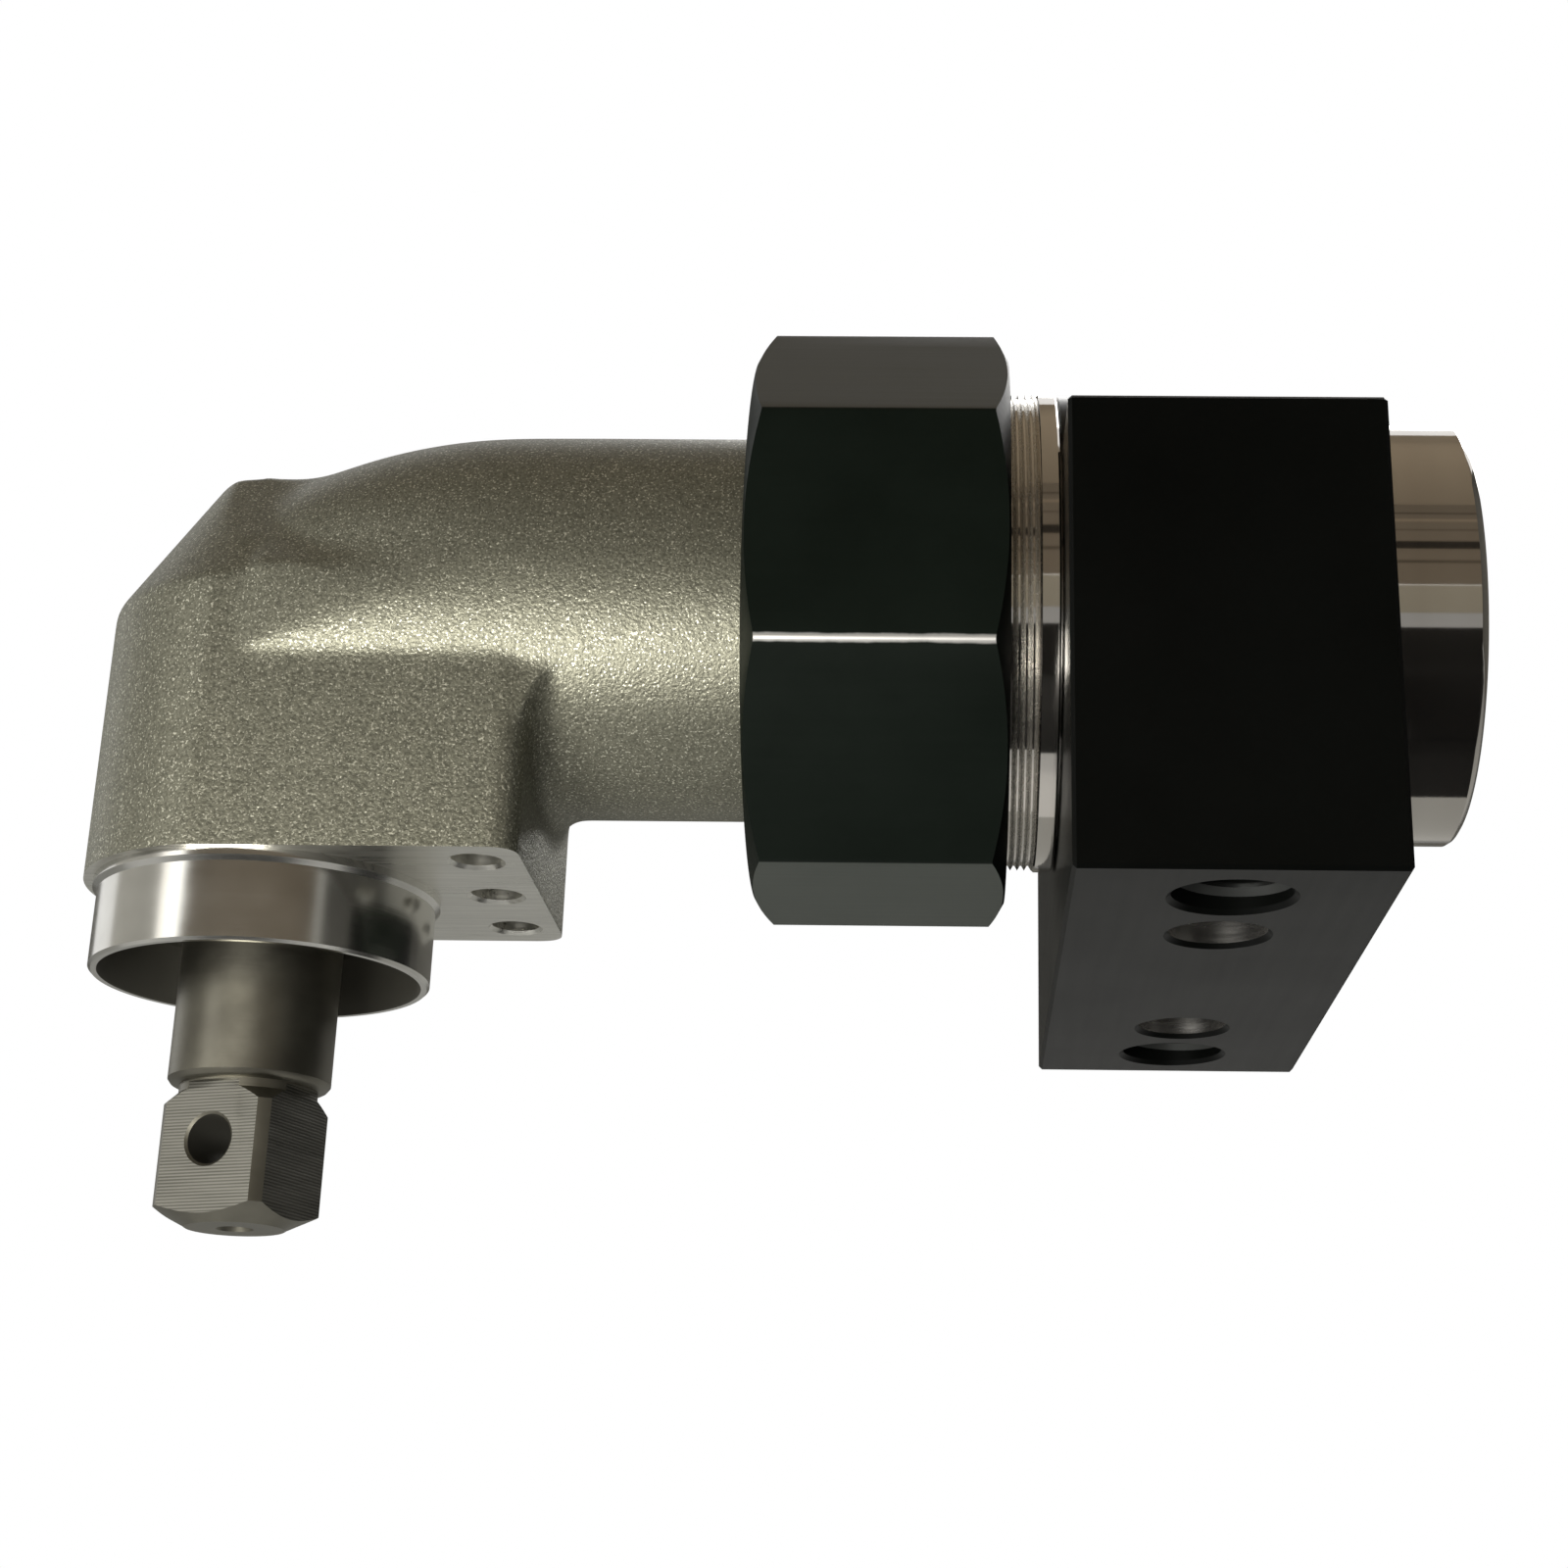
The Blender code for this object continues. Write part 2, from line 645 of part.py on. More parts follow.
def head_casing(parts, tools, head):
    """Casting with its faceted gear case, neck, lower face and thin machined collar."""
    casing, slab, back, side = head_outlines(tools, head)
    tools.objects.unlink(casing)
    parts.objects.link(casing)
    casing.data.materials.append(finish("head_casing", *CAST))
    keep_common(casing, slab)
    join(casing, back)
    keep_common(casing, side)
    join(casing, neck_belly(tools, head))
    cut(casing, facet_tool(-1, tools, head), facet_tool(1, tools, head))
    join(casing, neck_form(tools, head), neck_fillet(tools, head))

    bore = LOWER_BEARING_RADIUS + GAP
    chamber = bore - CHAMBER_SHOULDER
    collar_end = HEAD_FACE_Z - COLLAR_LENGTH
    hollow_top = collar_end + COLLAR_HOLLOW
    wide = HEAD_END_RADIUS * 4
    facing = prism("face_cut", [
        (-wide, -wide), (wide, -wide), (wide, wide), (-wide, wide),
    ], collar_end, HEAD_FACE_Z, None, tools)
    seat(facing, head)
    cut(casing, facing)

    edge = 0.4
    register = COLLAR_RADIUS + 0.5
    collar = turned("collar", [
        (0, HEAD_FACE_Z + OVERCUT), (register, HEAD_FACE_Z + OVERCUT),
        (register, HEAD_FACE_Z - COLLAR_STEP), (COLLAR_RADIUS, HEAD_FACE_Z - COLLAR_STEP - 0.5),
        (COLLAR_RADIUS, collar_end + edge), (COLLAR_RADIUS - edge, collar_end), (0, collar_end),
    ], None, tools, FINE_STEPS)
    seat(collar, head)
    join(casing, collar)

    pocket = NEEDLE_CUP_RADIUS + GAP
    pocket_top = NEEDLE_BOTTOM + NEEDLE_LENGTH + GAP
    seat_top = LOWER_BEARING_TOP + GAP
    upright = turned("spindle_bore", [
        (0, pocket_top), (pocket, pocket_top), (pocket, CHAMBER_TOP_Z),
        (CHAMBER_TOP_RADIUS, CHAMBER_TOP_Z), (chamber, CHAMBER_CORNER_Z), (chamber, seat_top),
        (bore, seat_top), (bore, hollow_top), (COLLAR_RADIUS - COLLAR_WALL, hollow_top),
        (COLLAR_RADIUS - COLLAR_WALL, collar_end - OVERCUT), (0, collar_end - OVERCUT),
    ], None, tools, FINE_STEPS)
    seat(upright, head)
    seat_bore = PINION_BEARING_RADIUS + GAP
    seat_start = FRONT_BEARING_X - GAP
    mouth = FLANGE_END + SPIGOT_LENGTH + OVERCUT
    level = turned("pinion_bore", [
        (0, mouth), (seat_bore, mouth), (seat_bore, seat_start),
        (PINION_CHAMBER_RADIUS, seat_start), (PINION_CHAMBER_RADIUS, PINION_CHAMBER_END),
        (0, PINION_CHAMBER_END),
    ], None, tools, FINE_STEPS)
    seat(level, head, (0, 0, 0), ALONG_TOOL)
    cut(casing, upright, level)

    holes = ((-1, FACE_SCREW_RADIUS), (0, FACE_PIN_RADIUS), (1, FACE_SCREW_RADIUS))
    for place, radius in holes:
        profile = [
            (0, FACE_HOLE_DEPTH + radius / 2), (radius, FACE_HOLE_DEPTH), (radius, edge),
            (radius + edge, 0), (radius + edge, -OVERCUT), (0, -OVERCUT),
        ]
        hole = turned(f"face_hole_{place}", profile, None, tools, COARSE_STEPS)
        seat(hole, head, (FACE_HOLE_X, place * FACE_HOLE_PITCH, HEAD_FACE_Z))
        cut(casing, hole)
    return casing


def output_spindle(parts, tools, spindle):
    """Spindle with its bearing seat, gear seat, upper journal and square drive."""
    shoulder = LOWER_BEARING_TOP + GAP
    shoulder_top = shoulder + SPINDLE_FLANGE
    top = NEEDLE_BOTTOM + NEEDLE_LENGTH - GAP
    journal_end = NEEDLE_BOTTOM - 1.0
    edge = 0.5
    groove_end = SPINDLE_END_Z - GROOVE_WIDTH
    square_end = SPINDLE_END_Z - SQUARE_LENGTH
    tip = square_end - TIP_LENGTH
    shaft = turned("output_spindle", [
        (0, top), (JOURNAL_RADIUS - edge, top), (JOURNAL_RADIUS, top - edge),
        (JOURNAL_RADIUS, journal_end), (SNAP_SEAT_RADIUS, journal_end),
        (SNAP_SEAT_RADIUS, SNAP_SEAT_Z), (WHEEL_SEAT_RADIUS, SNAP_SEAT_Z),
        (WHEEL_SEAT_RADIUS, shoulder_top), (SPINDLE_FLANGE_RADIUS, shoulder_top),
        (SPINDLE_FLANGE_RADIUS, shoulder), (SPINDLE_RADIUS, shoulder),
        (SPINDLE_RADIUS, SPINDLE_END_Z + SPINDLE_EDGE),
        (SPINDLE_RADIUS - SPINDLE_EDGE, SPINDLE_END_Z), (NECK_GROOVE_RADIUS, SPINDLE_END_Z),
        (NECK_GROOVE_RADIUS, groove_end), (SQUARE_CORNER_RADIUS, groove_end - GROOVE_SLOPE),
        (SQUARE_CORNER_RADIUS, square_end), (TIP_RADIUS, tip), (0, tip),
    ], STEEL, parts, PLAIN_STEPS)
    seat(shaft, spindle)
    turn = math.radians(SQUARE_TURN)
    reach = SQUARE
    for side in range(4):
        angle = turn + side * math.pi / 2
        flat = prism(f"square_flat_{side}", [
            (SQUARE / 2, -reach), (SQUARE / 2 + reach, -reach),
            (SQUARE / 2 + reach, reach), (SQUARE / 2, reach),
        ], tip - OVERCUT, SPINDLE_END_Z - GAP, None, tools)
        seat(flat, spindle, (0, 0, 0), (0, 0, angle))
        cut(shaft, flat)
    pin_hole = rod("square_pin_hole", PIN_HOLE_RADIUS, -reach, reach, None, tools, COARSE_STEPS)
    seat(pin_hole, spindle, (0, 0, PIN_HOLE_Z), (math.pi / 2, 0, turn))
    centre = turned("tip_centre", [
        (0, CENTRE_HOLE_RADIUS * 1.7), (CENTRE_HOLE_RADIUS, 0),
        (CENTRE_HOLE_RADIUS, -OVERCUT), (0, -OVERCUT),
    ], None, tools, COARSE_STEPS)
    seat(centre, spindle, (0, 0, tip))
    keyway = key_form("spindle_keyway", GAP / 2, None, tools, spindle)
    cut(shaft, pin_hole, centre, keyway)
    return shaft


def key_form(name, clearance, look, group, spindle):
    """Square key that locks the gear wheel to the spindle, or the slot for it."""
    half = KEY_WIDTH / 2 + clearance
    low = KEY_MIDDLE_Z - KEY_LENGTH / 2 - clearance * 2
    high = KEY_MIDDLE_Z + KEY_LENGTH / 2 + clearance * 2
    inner = WHEEL_SEAT_RADIUS - KEY_IN_SHAFT - clearance
    outer = WHEEL_SEAT_RADIUS + KEY_IN_WHEEL + clearance
    key = prism(name, [(inner, -half), (outer, -half), (outer, half), (inner, half)],
                low, high, look, group)
    return seat(key, spindle, (0, 0, 0), (0, 0, math.pi))


def wheel_on_spindle(parts, tools, spindle):
    """Bevel gear wheel on the spindle, its key and the ring that holds it down."""
    gear = BevelGear(WHEEL_TEETH, PINION_TEETH)
    phase = 0.5
    bore = WHEEL_SEAT_RADIUS + GAP
    back = -(LOWER_BEARING_TOP + GAP + SPINDLE_FLANGE + GAP)
    rings = [
        gear.level_ring(bore, WHEEL_TOE, phase),
        gear.level_ring(WHEEL_TOE_RADIUS, WHEEL_TOE, phase),
        gear.tooth_ring(TOOTH_FACE, phase),
        gear.tooth_ring(0, phase),
        gear.level_ring(WHEEL_RIM_RADIUS, back - WHEEL_RIM_WIDTH, phase),
        gear.level_ring(WHEEL_HUB_RADIUS, back, phase),
        gear.level_ring(bore, back, phase),
    ]
    flipped = [[(x, y, -z) for x, y, z in row] for row in rings]
    wheel = loft("bevel_wheel", flipped, STEEL, parts, closed=True)
    seat(wheel, spindle)
    slot = key_form("wheel_keyway", GAP, None, tools, spindle)
    cut(wheel, slot)
    key_form("wheel_key", 0, STEEL, parts, spindle)
    low = SNAP_SEAT_Z + GAP
    snap = ring("wheel_snap_ring", SNAP_SEAT_RADIUS + GAP, SNAP_RING_RADIUS, low,
                low + SNAP_RING_WIDTH, STEEL, parts, COARSE_STEPS)
    seat(snap, spindle)
    return wheel


def bearing(names, radii, place, turn, axes, parts):
    """Ball bearing as an outer race, an inner race and one caged row of balls."""
    outer_radius, inner_radius, balls = radii
    middle = (outer_radius + inner_radius) / 2
    ball = (outer_radius - inner_radius) * 0.27
    groove = ball + GAP
    half = BEARING_WIDTH / 2
    lip = 0.45 * ball
    drop = math.sqrt(groove ** 2 - lip ** 2)
    arc_steps = 3
    outer_groove = []
    inner_groove = []
    limit = math.atan2(drop, lip)
    for i in range(arc_steps + 1):
        angle = -limit + 2 * limit * i / arc_steps
        outer_groove.append((middle + groove * math.cos(angle), groove * math.sin(angle)))
        inner_groove.append((middle - groove * math.cos(angle), -groove * math.sin(angle)))
    outer = [(outer_radius, half), (outer_radius, -half), (middle + lip, -half)]
    outer += outer_groove + [(middle + lip, half)]
    inner = [(middle - lip, half)] + inner_groove + [(middle - lip, -half)]
    inner += [(inner_radius, -half), (inner_radius, half)]
    outer_race = turned(names[0], outer, STEEL, parts, COARSE_STEPS, closed=True)
    inner_race = turned(names[1], inner, STEEL, parts, COARSE_STEPS, closed=True)
    cage = beaded_ring(names[2], middle, ball, balls, BRONZE, parts)
    for piece, axis in zip((outer_race, inner_race, cage), axes):
        seat(piece, axis, place, turn)


def beaded_ring(name, middle, ball, balls, look, group):
    """Skins a row of balls and the wire cage between them as one closed ring."""
    sections = []
    sides = 8
    for i in range(balls):
        for share in (-0.94, -0.62, 0.0, 0.62, 0.94):
            angle = math.tau * i / balls + share * ball / middle
            size = ball * math.sqrt(1 - share ** 2)
            row = []
            for k in range(sides):
                around = math.tau * k / sides
                radius = middle + size * math.cos(around)
                row.append((radius * math.cos(angle), radius * math.sin(angle),
                            size * math.sin(around)))
            sections.append(row)
    cage = loft(name, sections, look, group, closed=True)
    shade_round(cage.data)
    return cage


def lower_stack(parts, tools, head, spindle, cage_axis):
    """Lower spindle bearing with the ring and the lip seal that close the head."""
    middle = LOWER_BEARING_TOP - BEARING_WIDTH / 2
    names = ("lower_outer_race", "lower_inner_race", "lower_ball_cage")
    radii = (LOWER_BEARING_RADIUS, SPINDLE_RADIUS + GAP, 8)
    bearing(names, radii, (0, 0, middle), UPRIGHT, (head, spindle, cage_axis), parts)
    top = LOWER_BEARING_TOP - BEARING_WIDTH - GAP
    low = HEAD_FACE_Z - COLLAR_LENGTH + COLLAR_HOLLOW + GAP
    lip_high = top - RETAINER_LIP
    lip_bore = SEAL_RADIUS - 1.0
    retainer = turned("bearing_retainer", [
        (LOWER_BEARING_RADIUS, top), (LOWER_BEARING_RADIUS, low), (SEAL_RADIUS + GAP, low),
        (SEAL_RADIUS + GAP, lip_high), (lip_bore, lip_high), (lip_bore, top),
    ], STEEL, parts, PLAIN_STEPS, closed=True)
    seat(retainer, head)
    for i, (x, y) in enumerate([(1, 0), (0, 1), (-1, 0), (0, -1)]):
        hole = rod(f"spanner_hole_{i}", SPANNER_RADIUS, -OVERCUT, OVERCUT * 2, None, tools, 8)
        seat(hole, head, (SPANNER_CIRCLE * x, SPANNER_CIRCLE * y, low))
        cut(retainer, hole)
    edge = 0.4
    seal = ring("spindle_seal", SPINDLE_RADIUS + GAP, SEAL_RADIUS, low + edge, lip_high - GAP,
                RUBBER, parts, COARSE_STEPS, edge)
    seat(seal, head)


def needle_bearing(parts, tools, head, cage_axis):
    """Needle bush that guides the top of the spindle."""
    low = NEEDLE_BOTTOM
    high = NEEDLE_BOTTOM + NEEDLE_LENGTH
    inside = NEEDLE_CUP_RADIUS - CUP_WALL
    cup = turned("needle_cup", [
        (NEEDLE_CUP_RADIUS, high), (NEEDLE_CUP_RADIUS, low), (inside - 0.8, low),
        (inside - 0.8, low + CUP_WALL), (inside, low + CUP_WALL), (inside, high),
    ], STEEL, parts, COARSE_STEPS, closed=True)
    seat(cup, head)
    start = low + CUP_WALL + GAP
    needles = 8
    clear = 0.15
    needle = (inside - JOURNAL_RADIUS) / 2 - clear
    middle = (inside + JOURNAL_RADIUS) / 2
    band = ring("needle_cage", middle - 0.3, middle + 0.3, start, high - GAP, BRONZE, parts, COARSE_STEPS)
    seat(band, cage_axis)
    form = bmesh.new()
    for i in range(needles):
        angle = math.tau * i / needles
        before = set(form.verts)
        bmesh.ops.create_cone(form, cap_ends=True, segments=6, radius1=needle * MM,
                              radius2=needle * MM, depth=(high - start - GAP - 0.8) * MM)
        fresh = [vertex for vertex in form.verts if vertex not in before]
        shift = Vector((middle * math.cos(angle), middle * math.sin(angle), (start + high - GAP) / 2))
        bmesh.ops.translate(form, verts=fresh, vec=shift * MM)
    mesh = bpy.data.meshes.new("needle_row")
    form.to_mesh(mesh)
    form.free()
    row = add_object("needle_row", mesh, None, tools)
    seat(row, cage_axis)
    join(band, row)


def pinion_shaft(parts, tools, drive):
    """Bevel pinion made in one piece with the shaft that carries it."""
    gear = BevelGear(PINION_TEETH, WHEEL_TEETH)
    phase = 0.0
    edge = 0.8
    shaft_end = COUPLING_START + COUPLING_GRIP - GAP
    rings = [
        gear.level_ring(PINION_CORE, PINION_TOE, phase),
        gear.level_ring(PINION_TOE_RADIUS, PINION_TOE, phase),
        gear.tooth_ring(TOOTH_FACE, phase),
        gear.tooth_ring(0, phase),
        gear.level_ring(PINION_RIM_RADIUS, PINION_BACK, phase),
        gear.level_ring(PINION_CORE, PINION_BACK, phase),
    ]
    pinion = loft("pinion_shaft", rings, STEEL, parts)
    seat(pinion, drive, (0, 0, 0), ALONG_TOOL)
    collar = PINION_SHAFT_RADIUS + PINION_SHAFT_COLLAR
    stem = turned("pinion_stem", [
        (0, shaft_end), (PINION_SHAFT_RADIUS - edge, shaft_end),
        (PINION_SHAFT_RADIUS, shaft_end - edge), (PINION_SHAFT_RADIUS, FRONT_BEARING_X - GAP),
        (collar, FRONT_BEARING_X - GAP), (collar, PINION_BACK - OVERCUT),
        (0, PINION_BACK - OVERCUT),
    ], None, tools, COARSE_STEPS)
    seat(stem, drive, (0, 0, 0), ALONG_TOOL)
    join(pinion, stem)
    reach = COUPLING_RADIUS * 2
    hole = rod("shaft_cross_hole", PIN_RADIUS + GAP, -reach, reach, None, tools, 16)
    seat(hole, drive, (COUPLING_START + COUPLING_GRIP / 2, 0, 0))
    cut(pinion, hole)
    return pinion


def pinion_stack(parts, tools, head, drive, front_axis, rear_axis):
    """Two ball bearings on the pinion shaft with their spacers, lock ring and shaft nut."""
    radii = (PINION_BEARING_RADIUS, PINION_SHAFT_RADIUS + GAP, 8)
    front = (FRONT_BEARING_X + BEARING_WIDTH / 2, 0, 0)
    rear = (front[0] + BEARING_SPAN, 0, 0)
    names = ("front_outer_race", "front_inner_race", "front_ball_cage")
    bearing(names, radii, front, ALONG_TOOL, (head, drive, front_axis), parts)
    names = ("rear_outer_race", "rear_inner_race", "rear_ball_cage")
    bearing(names, radii, rear, ALONG_TOOL, (head, drive, rear_axis), parts)
    low = FRONT_BEARING_X + BEARING_WIDTH + GAP
    high = FRONT_BEARING_X + BEARING_SPAN - GAP
    outer_spacer = ring("outer_spacer", PINION_BEARING_RADIUS - OUTER_SPACER_WALL,
                        PINION_BEARING_RADIUS, low, high, STEEL, parts, COARSE_STEPS)
    seat(outer_spacer, head, (0, 0, 0), ALONG_TOOL)
    shaft_bore = PINION_SHAFT_RADIUS + GAP
    inner_spacer = ring("inner_spacer", shaft_bore, shaft_bore + INNER_SPACER_WALL, low, high,
                        STEEL, parts, COARSE_STEPS)
    seat(inner_spacer, drive, (0, 0, 0), ALONG_TOOL)
    lock_end = STACK_END + LOCK_RING_LENGTH
    lock_bore = PINION_BEARING_RADIUS - LOCK_RING_WALL
    lock_ring = ring("bearing_lock_ring", lock_bore, PINION_BEARING_RADIUS, STACK_END, lock_end,
                     STEEL, parts, COARSE_STEPS)
    seat(lock_ring, head, (0, 0, 0), ALONG_TOOL)
    half = LOCK_SLOT_WIDTH / 2
    for side in (-1, 1):
        slot = prism(f"lock_ring_slot_{side}", [
            (-half, lock_bore - OVERCUT), (half, lock_bore - OVERCUT),
            (half, PINION_BEARING_RADIUS + OVERCUT), (-half, PINION_BEARING_RADIUS + OVERCUT),
        ], lock_end - LOCK_SLOT_DEPTH, lock_end + OVERCUT, None, tools)
        seat(slot, head, (0, 0, 0), (0, math.pi / 2, math.pi if side < 0 else 0))
        cut(lock_ring, slot)
    nut_end = STACK_END + SHAFT_NUT_LENGTH
    nut = prism("shaft_nut", arc(0, 0, SHAFT_NUT_CORNER, 0, 300, 5), STACK_END, nut_end, STEEL, parts)
    seat(nut, drive, (0, 0, 0), ALONG_TOOL)
    nut_bore = rod("shaft_nut_bore", shaft_bore, STACK_END - OVERCUT, nut_end + OVERCUT, None, tools,
                   COARSE_STEPS)
    seat(nut_bore, drive, (0, 0, 0), ALONG_TOOL)
    cut(nut, nut_bore)


def drive_coupling(parts, tools, drive):
    """Coupling with a hexagon socket for the motor, pinned to the pinion shaft."""
    end = COUPLING_START + COUPLING_LENGTH
    edge = 0.6
    body = rod("drive_coupling", COUPLING_RADIUS, COUPLING_START, end, STEEL, parts, PLAIN_STEPS, edge)
    grip = rod("coupling_grip", PINION_SHAFT_RADIUS + GAP, COUPLING_START - OVERCUT,
               COUPLING_START + COUPLING_GRIP, None, tools, COARSE_STEPS)
    hexagon = prism("coupling_hexagon", arc(0, 0, HEX_FLATS / math.sqrt(3), 0, 300, 5),
                    end - HEX_DEPTH, end + OVERCUT, None, tools)
    for piece in (body, grip, hexagon):
        seat(piece, drive, (0, 0, 0), ALONG_TOOL)
    place = (COUPLING_START + COUPLING_GRIP / 2, 0, 0)
    reach = COUPLING_RADIUS * 2
    hole = rod("coupling_cross_hole", PIN_RADIUS + GAP, -reach, reach, None, tools, 16)
    seat(hole, drive, place)
    cut(body, grip, hexagon, hole)
    pin_half = COUPLING_RADIUS - 0.5
    pin = rod("coupling_pin", PIN_RADIUS, -pin_half, pin_half, STEEL, parts, 16, 0.3)
    seat(pin, drive, place)


def neck_seal(parts, head):
    """Rubber ring in the groove of the centring spigot."""
    half = SEAL_THICKNESS / 2
    bpy.ops.mesh.primitive_torus_add(
        major_radius=(SLEEVE_BORE - GAP - half) * MM, minor_radius=half * MM,
        major_segments=PLAIN_STEPS, minor_segments=6)
    seal = bpy.context.object
    seal.name = "neck_seal"
    seal.data.name = "neck_seal"
    for group in list(seal.users_collection):
        group.objects.unlink(seal)
    parts.objects.link(seal)
    seal.data.materials.append(finish("neck_seal", *RUBBER))
    shade_round(seal.data)
    middle = FLANGE_END + SEAL_GROOVE_START + SEAL_GROOVE_WIDTH / 2
    seat(seal, head, (middle, 0, 0), ALONG_TOOL)


def build():
    """Builds every piece on the axis that it turns about."""
    clear_scene()
    parts = new_collection("nutrunner_angle_head")
    tools = new_collection("cutters")
    mount = axis_empty("mount_frame", (0, 0, 0), parts)
    mount_axis = axis_empty("sleeve_axis", CROSSING, parts)
    nut_axis = axis_empty("nut_axis", CROSSING + Vector((NUT_START, 0, 0)), parts)
    head = axis_empty("head_axis", CROSSING, parts)
    drive = axis_empty("drive_axis", CROSSING, parts)
    spindle = axis_empty("spindle_axis", CROSSING, parts)
    front_axis = axis_empty("front_cage_axis", CROSSING, parts)
    rear_axis = axis_empty("rear_cage_axis", CROSSING, parts)
    lower_axis = axis_empty("lower_cage_axis", CROSSING, parts)
    needle_axis = axis_empty("needle_cage_axis", CROSSING, parts)
    mounting_block(parts, tools, mount)
    coupling_sleeve(parts, mount_axis)
    union_nut(parts, tools, nut_axis)
    head_casing(parts, tools, head)
    output_spindle(parts, tools, spindle)
    wheel_on_spindle(parts, tools, spindle)
    lower_stack(parts, tools, head, spindle, lower_axis)
    needle_bearing(parts, tools, head, needle_axis)
    pinion_shaft(parts, tools, drive)
    pinion_stack(parts, tools, head, drive, front_axis, rear_axis)
    drive_coupling(parts, tools, drive)
    neck_seal(parts, head)


build()
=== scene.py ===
"""Visual model of a nutrunner's angle head on its mounting block.

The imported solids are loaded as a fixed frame, and each visible piece is then modelled finely over
its solid. Lengths are in metres, and the tool runs along X with its square drive pointing down.
"""
import math

import bpy
from mathutils import Matrix, Vector


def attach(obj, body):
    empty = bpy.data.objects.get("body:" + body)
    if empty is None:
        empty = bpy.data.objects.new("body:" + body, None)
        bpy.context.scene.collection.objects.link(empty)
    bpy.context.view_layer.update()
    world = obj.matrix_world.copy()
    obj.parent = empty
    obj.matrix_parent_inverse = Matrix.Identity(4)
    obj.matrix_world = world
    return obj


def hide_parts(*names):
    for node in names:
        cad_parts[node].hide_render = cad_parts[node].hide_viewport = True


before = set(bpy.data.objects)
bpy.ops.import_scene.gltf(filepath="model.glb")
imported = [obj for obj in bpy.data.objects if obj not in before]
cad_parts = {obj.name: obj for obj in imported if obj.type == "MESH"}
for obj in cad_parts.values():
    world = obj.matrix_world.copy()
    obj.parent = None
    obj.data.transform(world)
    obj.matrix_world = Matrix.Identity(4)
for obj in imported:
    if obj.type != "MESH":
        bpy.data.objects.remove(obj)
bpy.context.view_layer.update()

# The view. The photograph looks up at the tool from below the block's underside, from the front
# and almost square to the tool, so the camera stands low and looks slightly upward.
photo_view = bpy.data.objects.new("photo_view", bpy.data.cameras.new("photo_view"))
bpy.context.scene.collection.objects.link(photo_view)
photo_view.data.sensor_width = 36.0
photo_view.data.lens = 59.4
photo_view.data.shift_x = -0.0787
photo_view.data.shift_y = -0.0783
photo_view.data.clip_start = 0.01
photo_view.matrix_world = (
    Matrix.Translation((-0.0271, -0.2743, -0.0670))
    @ Matrix.Rotation(0.0179, 4, "Z")
    @ Matrix.Rotation(math.pi / 2 + 0.363, 4, "X")
    @ Matrix.Rotation(0.0144, 4, "Z")
)
bpy.context.scene.camera = photo_view
bpy.context.scene.view_settings.view_transform = "Standard"

# The room. A plain pale floor lies below the tool and a white surround closes it off. The camera
# doesn't see the flags, walls, beams and ceiling, which give the steel something to mirror.
FLOOR_LEVEL = -0.16
FLAG_LEVEL = FLOOR_LEVEL + 0.004
FLAG_BLACK = (0.004, 0.004, 0.004)
BEAM_BROWN = (0.30, 0.24, 0.17)
LYING = (0, 0, 0)
FACING = (math.pi / 2, 0, 0)
HALF_FACING = (math.pi / 2, 0, 0.75)
SIDEWAYS = (math.pi / 2, 0, math.pi / 2)


def paper(name, colour):
    """Makes the matt paper of the floor or of a flag."""
    sheet = bpy.data.materials.new(name)
    sheet.use_nodes = True
    shader = sheet.node_tree.nodes["Principled BSDF"]
    shader.inputs["Base Color"].default_value = (*colour, 1)
    shader.inputs["Roughness"].default_value = 0.9
    return sheet


def room_card(name, place, turn, size, colour, seen):
    """Adds one flat card of the room, which isn't part of the tool."""
    bpy.ops.object.select_all(action="DESELECT")
    bpy.ops.mesh.primitive_plane_add(size=1, location=place, rotation=turn)
    card = bpy.context.object
    card.name = name
    card.scale = (*size, 1)
    card.data.materials.append(paper(name + "_paper", colour))
    card.visible_camera = seen
    card.visible_shadow = seen
    card.visible_diffuse = seen
    return card


room_card("floor", (0, 0, FLOOR_LEVEL), LYING, (6, 6), (0.86, 0.86, 0.85), True)
for name, place, turn, size, colour in (
    ("dark_flag_low", (0, -0.355, FLAG_LEVEL), LYING, (2.2, 0.59), FLAG_BLACK),
    ("dark_flag_under", (0.50, 0.004, FLAG_LEVEL), LYING, (1.0, 0.138), FLAG_BLACK),
    ("grey_flag_behind", (0, 0.76, FLAG_LEVEL), LYING, (3.2, 1.38), (0.48, 0.48, 0.46)),
    ("cream_band", (0, -0.94, 0.005), FACING, (2.8, 0.24), (0.55, 0.50, 0.40)),
    ("brown_wall", (0.05, -0.95, 0.70), FACING, (2.0, 1.14), (0.30, 0.245, 0.18)),
    ("brown_ceiling", (0, -0.15, 1.27), LYING, (2.8, 1.6), (0.54, 0.44, 0.32)),
    ("dark_wall_right", (0.95, 0.2, 0.45), SIDEWAYS, (2.3, 1.1), (0.17, 0.165, 0.15)),
    ("pale_wall_left", (-1.05, -0.23, 0.45), SIDEWAYS, (0.96, 1.1), (0.90, 0.88, 0.82)),
    ("pale_post_right", (0.90, -0.88, 0.35), HALF_FACING, (0.16, 0.8), (0.85, 0.84, 0.80)),
    ("dim_wall_behind", (0, 1.3, 0.50), FACING, (2.8, 1.2), (0.30, 0.29, 0.26)),
):
    room_card(name, place, turn, size, colour, False)
